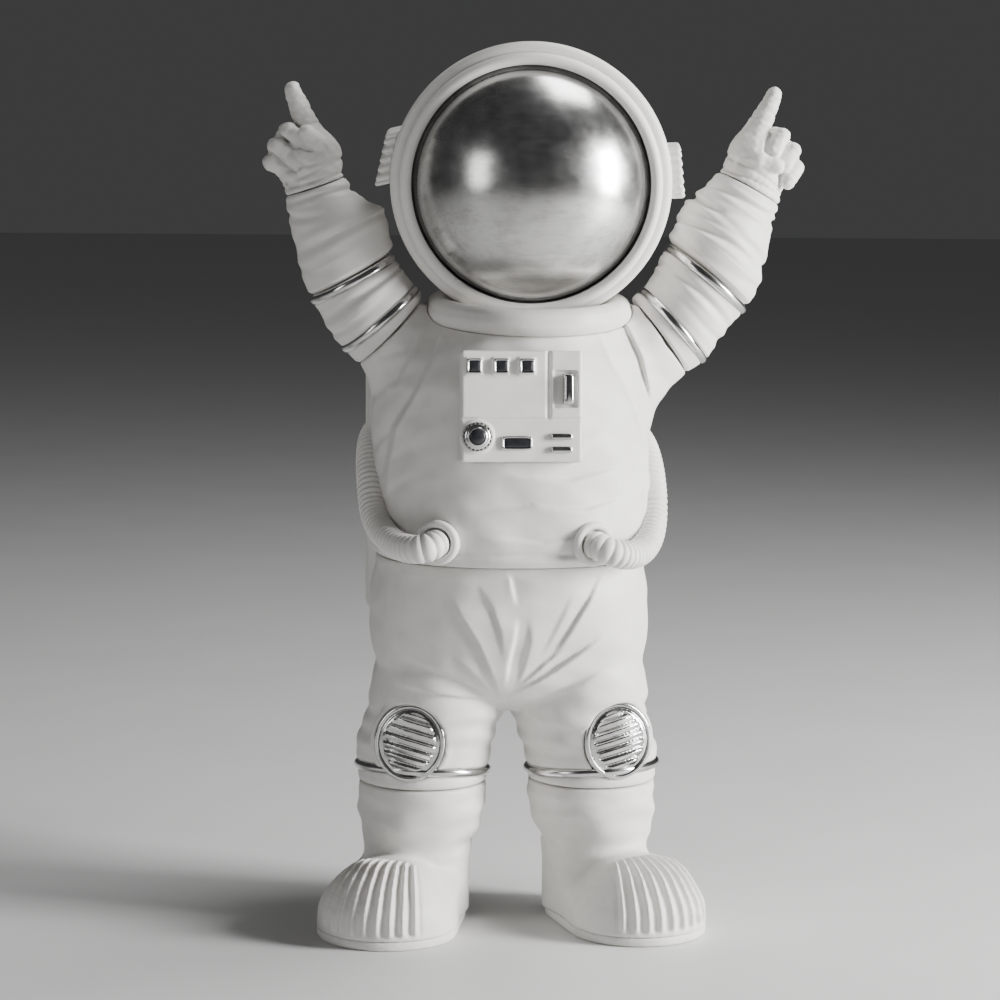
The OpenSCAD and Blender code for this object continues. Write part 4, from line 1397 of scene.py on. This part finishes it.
@dataclass
class Backpack:
    """Flat life-support pack behind the jacket, with a raised cover, vents and studs."""

    width: float = 86.0
    low_z: float = 92.0
    high_z: float = 179.0
    back: float = 53.0
    step: float = 0.85

    def build(self) -> None:
        """Models, dresses and mounts the backpack."""
        p = PLAN
        clay = Clay((-46, 16, self.low_z - 3), (46, self.back + 3, self.high_z + 3), self.step)
        x, y, z = clay.x, clay.y, clay.z
        mid = (self.low_z + self.high_z) / 2
        box = (x, y, z)
        pack = brick(box, (0, self.back - 7.3, mid),
                     (self.width / 2, 7.3, (self.high_z - self.low_z) / 2), 5.0)
        wing = brick(box, (0, 38.5, (p.hem_z + 0.5 + self.high_z) / 2),
                     (self.width / 2, 13.6, (self.high_z - p.hem_z - 0.5) / 2), 5.5)
        pack = join(pack, wing, 1.5)
        frame_cut = np.abs(brick(box, (0, self.back, mid), (33, 6, 34), 4.0)) - 0.5
        pack = without(pack, np.maximum(frame_cut, self.back - 1.4 - y), 0.6)
        side_seam = np.maximum(np.abs(y - (self.back - 9.0)) - 0.5,
                               -brick(box, (0, 40, mid), (41.8, 40, 46), 4.0))
        pack = without(pack, side_seam, 0.5)
        pocket = brick(box, (0, self.back - 0.4, 106.0), (24, 1.6, 7.5), 1.4)
        pack = join(pack, np.maximum(pocket, y - self.back - 0.05), 0.8)
        pack = pack - 0.10 * waves(box, 22.0, 8)
        oval = np.sqrt((x / 1.1) ** 2 + y * y) - 41.0
        inner = column(clay, [(self.low_z - 4, 20, 20, 0, 0, 2.2), (p.hem_z, 42.6, 38.8, 0, 0, 2.2),
                              (p.hem_z + 13, 44.1, 41.3, 0, 0, 2.2), (p.hem_z + 27, 44.5, 40.9, 0, 0, 2.2),
                              (p.hem_z + 42, 44.1, 38.9, 0, 0, 2.2), (p.hem_z + 55, 43.2, 36.1, 0.4, 0, 2.2),
                              (p.hem_z + 64, 40.2, 33.3, 1.6, 0, 2.1)], 2.0)
        pack = without(pack, np.where(z > p.hem_z, inner, np.maximum(oval, 3.0)), 0.3)
        mount(clay.cast("backpack_case", pack), "torso", Slot.SHELL, "backpack")
        self.repeats()

    def repeats(self) -> None:
        """Adds the vent bars and the studs on the cover."""
        for name, slot, size, across, up, gap, level in (
                ("backpack_vents", Slot.SHELL, (34.0, 1.6, 2.0), 1, 8, (0.0, 4.0), 152.0),
                ("backpack_studs", Slot.SILVER, (2.2, 1.0, 2.2), 2, 2, (74.0, 74.0), 135.5)):
            maker = Repeater(name)
            columns = maker.ask("Columns", "NodeSocketInt", across)
            rows = maker.ask("Rows", "NodeSocketInt", up)
            bar = maker.ask("Bar", "NodeSocketVector", tuple(v * MM for v in size))
            grid = maker.node("GeometryNodeMeshGrid", None,
                              {"Size X": gap[0] * (across - 1) * MM, "Size Y": gap[1] * (up - 1) * MM,
                               "Vertices X": columns, "Vertices Y": rows})
            cube = maker.node("GeometryNodeMeshCube", None, {"Size": bar})
            stand = maker.node("GeometryNodeTransform", None,
                               {"Geometry": (grid, 0), "Rotation": (math.pi / 2, 0, 0)})
            repeat = maker.node("GeometryNodeInstanceOnPoints", None,
                                {"Points": (stand, 0), "Instance": (cube, 0)})
            carrier = bpy.data.objects.new(name, bpy.data.meshes.new(name))
            bpy.context.scene.collection.objects.link(carrier)
            piece = maker.run(name, carrier, repeat, slot)
            bevel = piece.modifiers.new("edge", "BEVEL")
            bevel.width = 0.35 * MM
            bevel.segments = 3
            depsgraph = bpy.context.evaluated_depsgraph_get()
            piece.data = bpy.data.meshes.new_from_object(piece.evaluated_get(depsgraph), depsgraph=depsgraph)
            piece.modifiers.clear()
            settle(piece, shift(0, self.back - 0.25, level))
            mount(piece, "torso", slot)


# ---------------------------------------------------------------- head


@dataclass
class Helmet:
    """Hollow ball shell with a rolled lip, white visor ring, silver visor and ribbed ear pods."""

    wall: float = 3.0
    visor_r: float = 39.1
    rim_r: float = 38.75
    lip_r: float = 41.2

    def build(self) -> None:
        """Models, dresses and mounts the head."""
        p = PLAN
        axes = place(p.helmet(), spin("X", 90))
        r, cut = p.helmet_r, p.visor_cut
        shell = arc((0, 0), r, -89.5, 8.5, 90)
        shell += [(r * 0.9835, cut - 5.2), (r * 0.972, cut - 4.5)]
        shell += arc((self.lip_r + 0.25, cut - 1.6), 2.25, -62, 118, 26)
        shell += [(40.75, cut + 0.2), (40.7, cut - 1.5), (37.0, cut - 1.6)]
        shell += arc((0, 0), r - self.wall, 15.0, -89.4, 70)
        helmet = lathe("helmet_shell", shell, axes, 200)
        mount(helmet, "head", Slot.SHELL, "helmet")
        rim = [(37.3, cut - 1.45), (40.5, cut - 1.45), (40.6, cut + 0.8)]
        rim += arc((self.rim_r, cut + 2.3), 1.85, -8, 186, 26)
        rim += [(36.95, cut + 1.2)]
        mount(lathe("visor_rim_ring", rim, axes, 200, True), "head", Slot.SHELL, "visor_rim")
        visor = arc((0, 0), self.visor_r - 0.1, 89.6, 16.7, 80)
        visor += arc((0, 0), self.visor_r - 2.0, 17.5, 89.6, 60)
        mount(lathe("visor_dome", visor, axes, 220), "head", Slot.VISOR, "visor")
        # Painted shade: a thin near-black ring where the gap between the silver visor and the white rim
        # falls into shadow.
        line = [(37.0 + 0.3 * math.cos(a), cut + 2.55 + 0.3 * math.sin(a))
                for a in np.linspace(0, 2 * math.pi, 12, endpoint=False)]
        mount(lathe("visor_seal_line", line, axes, 200, True), "head", Slot.DARK)
        for side in Side:
            self.pod(side)
        boss = [(0.3, -42.4), (6.3, -42.4), (8.2, -41.9), (8.5, -40.0), (8.5, -31.0), (0.3, -31.0)]
        mount(lathe("helmet_neck_boss", boss, p.neck(), 64), "head", Slot.SHELL)

    def pod(self, side: Side) -> None:
        """Models, dresses and mounts one ear pod.

        Args:
            side: the pod's side.
        """
        p = PLAN
        home = p.helmet()
        s = side.sign
        middle = home @ Vector((s * (p.helmet_r - 0.5), -4, 5.6))
        low = np.array(middle) - (12, 12, 14)
        clay = Clay(tuple(low), tuple(low + (24, 24, 28)), 0.3)
        u, v, w = clay.local(home)
        out = u * s - (p.helmet_r - 0.5)
        swing = out + 0.16 * (w - 5.6)
        rise = w - 5.6 + (0.30 if side is Side.LEFT else -0.10) * out
        pod = brick((swing, v, rise), (-0.9, -4, 0), (6, 7, 8.0), 1.2)
        corner = (out * 0.8 + (w - 5.6) * 0.6) - 8.3
        pod = common(pod, corner, 0.8)
        lane = rise / 2.75 + 0.5
        beat = lane - np.round(lane)
        groove = 1.25 * bell(beat, 0.20)
        groove *= step_up(7.0 - np.abs(rise), 0, 0.7)
        pod = pod + groove
        pod = without(pod, np.sqrt(u * u + v * v + w * w) - p.helmet_r - 0.02, 0.15)
        around = np.sqrt(u * u + w * w)
        ring = np.sqrt((around - self.lip_r - 0.25) ** 2 + (-v - p.visor_cut + 1.6) ** 2) - 2.3
        pod = without(pod, ring, 0.15)
        mount(clay.cast(side.name_of("ear_pod_case"), pod), "head", Slot.SHELL, side.name_of("ear_pod"))


# ---------------------------------------------------------------- arms


@dataclass
class Arm:
    """One raised arm: two sleeve pieces, their silver bands and the pointing glove."""

    side: Side
    low_step: tuple
    low_rise: float
    high_r: float
    wrist_r: float
    wrist_off: float
    sleeve_r: float = 14.3
    band: float = 1.4

    def planes(self) -> dict[str, ArmPlane]:
        """The planes of the shoulder cut, both bands and the wrist."""
        cut = ArmPlane.of_joint(self.side, "shoulder_turn")
        return {
            "cut": cut,
            "low": ArmPlane(self.side, cut.x + self.low_step[0], cut.z + self.low_step[1], self.low_rise),
            "high": ArmPlane.of_joint(self.side, "forearm_turn"),
            "wrist": ArmPlane.of_joint(self.side, "wrist_turn"),
        }

    def sleeve(self, name: str, stations: list, folds: list, seed: int, around: int = 150,
               along: int = 120) -> bpy.types.Object:
        """A soft sleeve through a list of stations.

        Args:
            name: the piece's name.
            stations: (plane, radius, shift outwards) from the lowest to the highest.
            folds: rows of (share along, depth, width, waviness, start angle).
            seed: chooses how the folds wander.
            around: points in each ring.
            along: number of rings.

        Returns:
            The sleeve.
        """
        rng = np.random.default_rng(seed)
        spots = np.array([[s.x, s.z, s.rise, r, off] for s, r, off in stations])
        gaps = np.hypot(np.diff(spots[:, 0]), np.diff(spots[:, 1]))
        reach = np.concatenate([[0], np.cumsum(gaps)])
        length = reach[-1]
        t = np.linspace(0, length, along)
        x, z, rise, radius, off = (np.interp(t, reach, spots[:, i]) for i in range(5))
        phi = np.linspace(0, 2 * math.pi, around, endpoint=False)[None, :]
        share = (t / length)[:, None]
        swell = np.zeros((along, around))
        for at, depth, width, wander, start in folds:
            path = at + wander * np.sin(phi + start) + 0.4 * wander * np.sin(2 * phi + start * 2.3)
            fade = 0.55 + 0.45 * np.cos(phi - start * 1.7)
            away = (share - path) * length
            swell -= depth * fade * (bell(away, width) - 0.45 * bell(np.abs(away) - 1.9 * width, width))
        for k in range(4):
            swell += 0.10 * np.sin(k * phi + rng.uniform(0, 6) + share * rng.uniform(4, 12))
        calm = step_up(np.minimum(t, length - t)[:, None], 0.0, 2.0)
        ring_r = radius[:, None] + swell * calm
        ring_r = ring_r - 0.45 * (1 - step_up(np.minimum(t, length - t)[:, None], 0.0, 0.7))
        lean = np.radians(rise)[:, None]
        out = ring_r * np.cos(phi) + off[:, None]
        points = np.stack([x[:, None] + self.side.sign * np.sin(lean) * out, ring_r * np.sin(phi),
                           z[:, None] - np.cos(lean) * out], axis=-1)
        return skin_grid(name, points)

    def ring(self, name: str, plane: ArmPlane, radius: float) -> bpy.types.Object:
        """A half-round band lying across the arm."""
        bead = [(radius + self.band * 0.98 * math.cos(a), 1.5 * math.sin(a))
                for a in np.linspace(0, 2 * math.pi, 20, endpoint=False)]
        return lathe(name, bead, plane.matrix(), 150, True)

    def build(self) -> None:
        """Models, dresses and mounts the arm."""
        name = self.side.name_of
        gap = PLAN.gap
        planes = self.planes()
        start = planes["cut"].moved(gap)
        high = planes["high"].moved(-gap / 2)
        upper_ring = high.moved(-self.band)
        r, rh, rw = self.sleeve_r, self.high_r, self.wrist_r
        low = planes["low"]
        lean, bulge = (0.0, 1.1) if self.side is Side.LEFT else (-1.3, 0.3)
        stations = [(start, r * 1.015, 0), (low.moved(-1.7), r * 1.035, 0), (low, r * 0.98, 0),
                    (low.moved(1.8), r * 1.04, 0), (low.moved(6.5), (r + rh) / 2 + bulge, lean),
                    (upper_ring.moved(-1.8), rh * 1.04, 0), (upper_ring, rh * 0.98, 0), (high, rh * 1.0, 0)]
        folds = [(0.50, 0.55, 1.1, 0.035, 0.4), (0.68, 0.6, 1.2, 0.04, 2.6), (0.82, 0.35, 0.9, 0.03, 4.4)]
        sleeve = self.sleeve(name("upper_sleeve_cloth"), stations, folds, 3)
        mount(sleeve, name("upper_arm"), Slot.SUIT, name("upper_sleeve"))
        mount(self.ring(name("lower_band_metal"), low, r), name("upper_arm"), Slot.SILVER,
              name("lower_band"))
        mount(self.ring(name("upper_band_metal"), upper_ring, rh), name("upper_arm"), Slot.SILVER,
              name("upper_band"))
        first = planes["high"].moved(gap / 2)
        last = planes["wrist"].moved(-gap / 2)
        middle = ArmPlane(self.side, (first.x + last.x) / 2, (first.z + last.z) / 2,
                          (first.rise + last.rise) / 2)
        lean, bulge = (-1.6, 3.2) if self.side is Side.LEFT else (-1.9, 2.3)
        stations = [(first, rh * 0.99, 0), (planes["high"].moved(1.6), rh * 1.09, lean * 0.5),
                    (planes["high"].moved(7.0), rh * 1.12, lean), (middle, (rh + rw) / 2 + bulge, lean),
                    (last.moved(-4.5), rw * 1.12, self.wrist_off * 1.1),
                    (last, rw * 1.02, self.wrist_off)]
        if self.side is Side.RIGHT:
            folds = [(0.16, 1.1, 1.3, 0.06, 0.9), (0.30, 1.0, 1.2, 0.07, 2.3), (0.43, 1.2, 1.4, 0.06, 4.0),
                     (0.56, 0.9, 1.2, 0.05, 5.2), (0.68, 0.8, 1.1, 0.06, 1.4), (0.80, 0.9, 1.0, 0.04, 3.1),
                     (0.90, 0.6, 0.8, 0.03, 0.2)]
        else:
            folds = [(0.20, 0.5, 1.5, 0.07, 0.9), (0.42, 0.6, 1.6, 0.08, 2.9), (0.62, 0.6, 1.4, 0.06, 4.6),
                     (0.78, 0.6, 1.1, 0.05, 0.4), (0.90, 0.6, 0.9, 0.03, 2.0)]
        sleeve = self.sleeve(name("forearm_sleeve_cloth"), stations, folds, 8)
        mount(sleeve, name("forearm"), Slot.SUIT, name("forearm_sleeve"))
        self.glove(planes["wrist"].moved(gap / 2))

    def glove(self, base: ArmPlane) -> None:
        """Models, dresses and mounts the pointing hand.

        Args:
            base: plane of the wrist's end.
        """
        home = base.matrix()
        middle = np.array(home @ Vector((0, 0, 16)))
        clay = Clay(tuple(middle - (22, 16, 23)), tuple(middle + (22, 16, 23)), 0.38)
        u, v, w = clay.local(home)
        right = self.side is Side.RIGHT
        hole = np.sqrt(u * u + v * v)
        p = (u - self.wrist_off + (0.06 if right else 0.012) * w, v, w)
        r = self.wrist_r
        palm = bone(p, (0, 0, 0.5), (-0.8, 0.2, 8.0), r * 0.99, 9.4)
        palm = join(palm, bone(p, (-3.6, 0.4, 9.0), (3.6, 0.4, 10.0), 7.2, 7.0), 3.0)
        if right:
            index = bone(p, (-5.6, 0.2, 14.0), (-5.5, -0.4, 29.4), 4.5, 2.5)
            folded = [((1.2, -6.4, 13.0), (1.9, -3.4, 18.6), 3.1),
                      ((6.2, -6.2, 10.8), (6.9, -3.2, 16.4), 3.0),
                      ((9.4, -5.4, 7.6), (10.2, -2.8, 12.6), 2.8)]
            backs = [((1.8, 2.8, 17.8), 3.9), ((6.8, 2.8, 15.6), 3.8), ((9.2, 2.6, 12.6), 3.5)]
            thumb = [((-6.0, -4.4, 6.6), (-1.6, -7.6, 8.4), 3.7, 3.1),
                     ((-1.6, -7.6, 8.4), (3.6, -8.6, 9.6), 3.0, 2.5)]
        else:
            index = bone(p, (-3.6, 0.2, 14.5), (-2.6, -0.4, 30.6), 4.5, 2.5)
            folded = [((-1.8, -4.9, 12.0), (2.6, -3.4, 18.6), 2.9),
                      ((2.6, -4.7, 8.4), (7.4, -3.0, 15.2), 2.9),
                      ((5.4, -4.2, 4.6), (10.2, -2.4, 11.0), 2.8)]
            backs = [((2.6, 3.2, 17.6), 3.8), ((6.4, 3.0, 14.6), 3.7), ((8.6, 2.6, 10.8), 3.5)]
            thumb = [((-6.4, -2.4, 8.0), (-4.6, -6.4, 12.6), 3.6, 3.2),
                     ((-4.6, -6.4, 12.6), (-2.6, -7.0, 16.8), 3.0, 2.5)]
        mitten = join(palm, index, 2.4)
        for spot, size in backs:
            mitten = join(mitten, ball(p, spot, size), 1.6)
        for a, b, size in folded:
            knuckle = (b[0] + 0.4, b[1] + 3.4, b[2] + 0.2)
            finger = join(bone(p, a, b, size * 0.93, size), bone(p, b, knuckle, size, size), 0.4)
            mitten = join(mitten + 0.9 * bell(finger - 0.5, 0.55) * step_up(-v, -1.5, 1.5), finger, 0.12)
        for a, b, wide, thin in thumb:
            mitten = join(mitten, bone(p, a, b, wide, thin), 0.5)
        u, v, w = p
        for height, depth, tilt in ((1.9, 0.5, 0.04), (4.6, 0.35, -0.08), (6.9, 0.22, 0.1)):
            mitten = mitten + depth * bell(w - height - tilt * u - 0.3 * np.sin(v / 3.0), 0.55)
        for height in (19.5, 21.4, 24.2, 27.4):
            mitten = mitten + 0.2 * bell(w - height - 0.15 * u, 0.4) * step_up(w, 17, 19)
        mitten = mitten - 0.14 * waves((clay.x, clay.y, clay.z), 4.2, 13) - 0.07 * waves(
            (clay.x, clay.y, clay.z), 1.9, 17)
        mitten = common(mitten, -w, 0.5)
        mitten = without(mitten, np.maximum(hole - 4.1, w - 7.2), 0.2)
        mitten = without(mitten, np.maximum(hole - 5.6, np.abs(w - 5.3) - 2.1), 0.2)
        piece = clay.cast(self.side.name_of("glove_skin"), mitten)
        mount(piece, self.side.name_of("hand"), Slot.GLOVE, self.side.name_of("glove"))


# ---------------------------------------------------------------- stage


@dataclass
class Stage:
    """Plain pale floor, soft studio light and the camera."""

    azimuth: float = -6.0
    pitch: float = 7.0
    distance: float = 978.0
    target: tuple = (-3.186, 0.0, 135.65)
    lens: float = 110.5
    roll: float = 0.6

    def lamp(self, name: str, at: tuple, aim: tuple, size: tuple, power: float) -> None:
        """Adds a soft rectangular light.

        Args:
            name: its name.
            at: its place in millimetres.
            aim: what it points at.
            size: its width and height in millimetres.
            power: its power in watts.
        """
        data = bpy.data.lights.new(name, "AREA")
        data.shape = "RECTANGLE"
        data.size, data.size_y = size[0] * MM, size[1] * MM
        data.energy = power
        lamp = bpy.data.objects.new(name, data)
        lamp.location = Vector(at) * MM
        lamp.rotation_mode = "QUATERNION"
        lamp.rotation_quaternion = (Vector(aim) - Vector(at)).to_track_quat("-Z", "Y")
        bpy.context.scene.collection.objects.link(lamp)

    def build(self) -> None:
        """Builds the floor, the lights, the world and the camera."""
        mesh = bpy.data.meshes.new("floor")
        mesh.from_pydata([(-6, -6, 0), (6, -6, 0), (6, 6, 0), (-6, 6, 0)], [], [(0, 1, 2, 3)])
        floor = bpy.data.objects.new("floor", mesh)
        bpy.context.scene.collection.objects.link(floor)
        paint = Paint("floor_pale")
        speck = paint.noise(60.0, 3.0)
        floor.data.materials.append(paint.close({
            "Base Color": paint.mix((0.66, 0.66, 0.655, 1.0), (0.71, 0.71, 0.705, 1.0), speck),
            "Roughness": 0.5 + speck * 0.1}))
        world = bpy.data.worlds.new("studio")
        world.use_nodes = True
        world.node_tree.nodes["Background"].inputs["Color"].default_value = (0.40, 0.40, 0.41, 1.0)
        world.node_tree.nodes["Background"].inputs["Strength"].default_value = 0.13
        bpy.context.scene.world = world
        self.lamp("key_light", (840, -330, 330), (0, 0, 165), (260, 460), 25.0)
        self.lamp("side_light", (-760, -560, 330), (0, 0, 150), (260, 420), 1.3)
        self.lamp("top_light", (300, 120, 980), (0, 0, 120), (420, 360), 5.0)
        turn, drop = math.radians(self.azimuth), math.radians(self.pitch)
        ahead = Vector((-math.sin(turn) * math.cos(drop), math.cos(turn) * math.cos(drop), -math.sin(drop)))
        data = bpy.data.cameras.new("front_view")
        data.lens = self.lens
        data.sensor_width = 36.0
        data.clip_start, data.clip_end = 0.01, 50.0
        camera = bpy.data.objects.new("front_view", data)
        spot = Vector(self.target) - ahead * self.distance + Vector((WAIST.x, WAIST.y, 0.0))
        camera.location = spot * MM
        camera.rotation_mode = "QUATERNION"
        level = ahead.to_track_quat("-Z", "Y")
        camera.rotation_quaternion = level @ spin("Z", self.roll).to_quaternion()
        bpy.context.scene.collection.objects.link(camera)
        bpy.context.scene.camera = camera


def dress_plugs() -> None:
    """Gives the hidden swivel plugs their plain plastic finish."""
    for node, piece in frame["nodes"].items():
        if node.split("_left")[0].split("_right")[0].endswith("plug"):
            piece.data.materials.clear()
            piece.data.materials.append(PAINTS[Slot.PLUG])


def main() -> None:
    """Builds the figure piece by piece."""
    logging.basicConfig(level=logging.INFO, format="%(name)s: %(message)s")
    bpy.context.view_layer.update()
    dress_plugs()
    Trousers().build()
    for side in Side:
        KneeGuard(side).build()
        Boot(side).build()
        Hose(side).build()
    Jacket().build()
    Collar().build()
    ControlPanel().build()
    Backpack().build()
    Helmet().build()
    Arm(Side.LEFT, (-3.2, 4.0), 49.0, 13.87, 9.6, 1.4).build()
    Arm(Side.RIGHT, (4.5, 3.5), 42.0, 15.16, 10.75, -1.6).build()
    Stage().build()


if __name__ == "__main__":
    main()
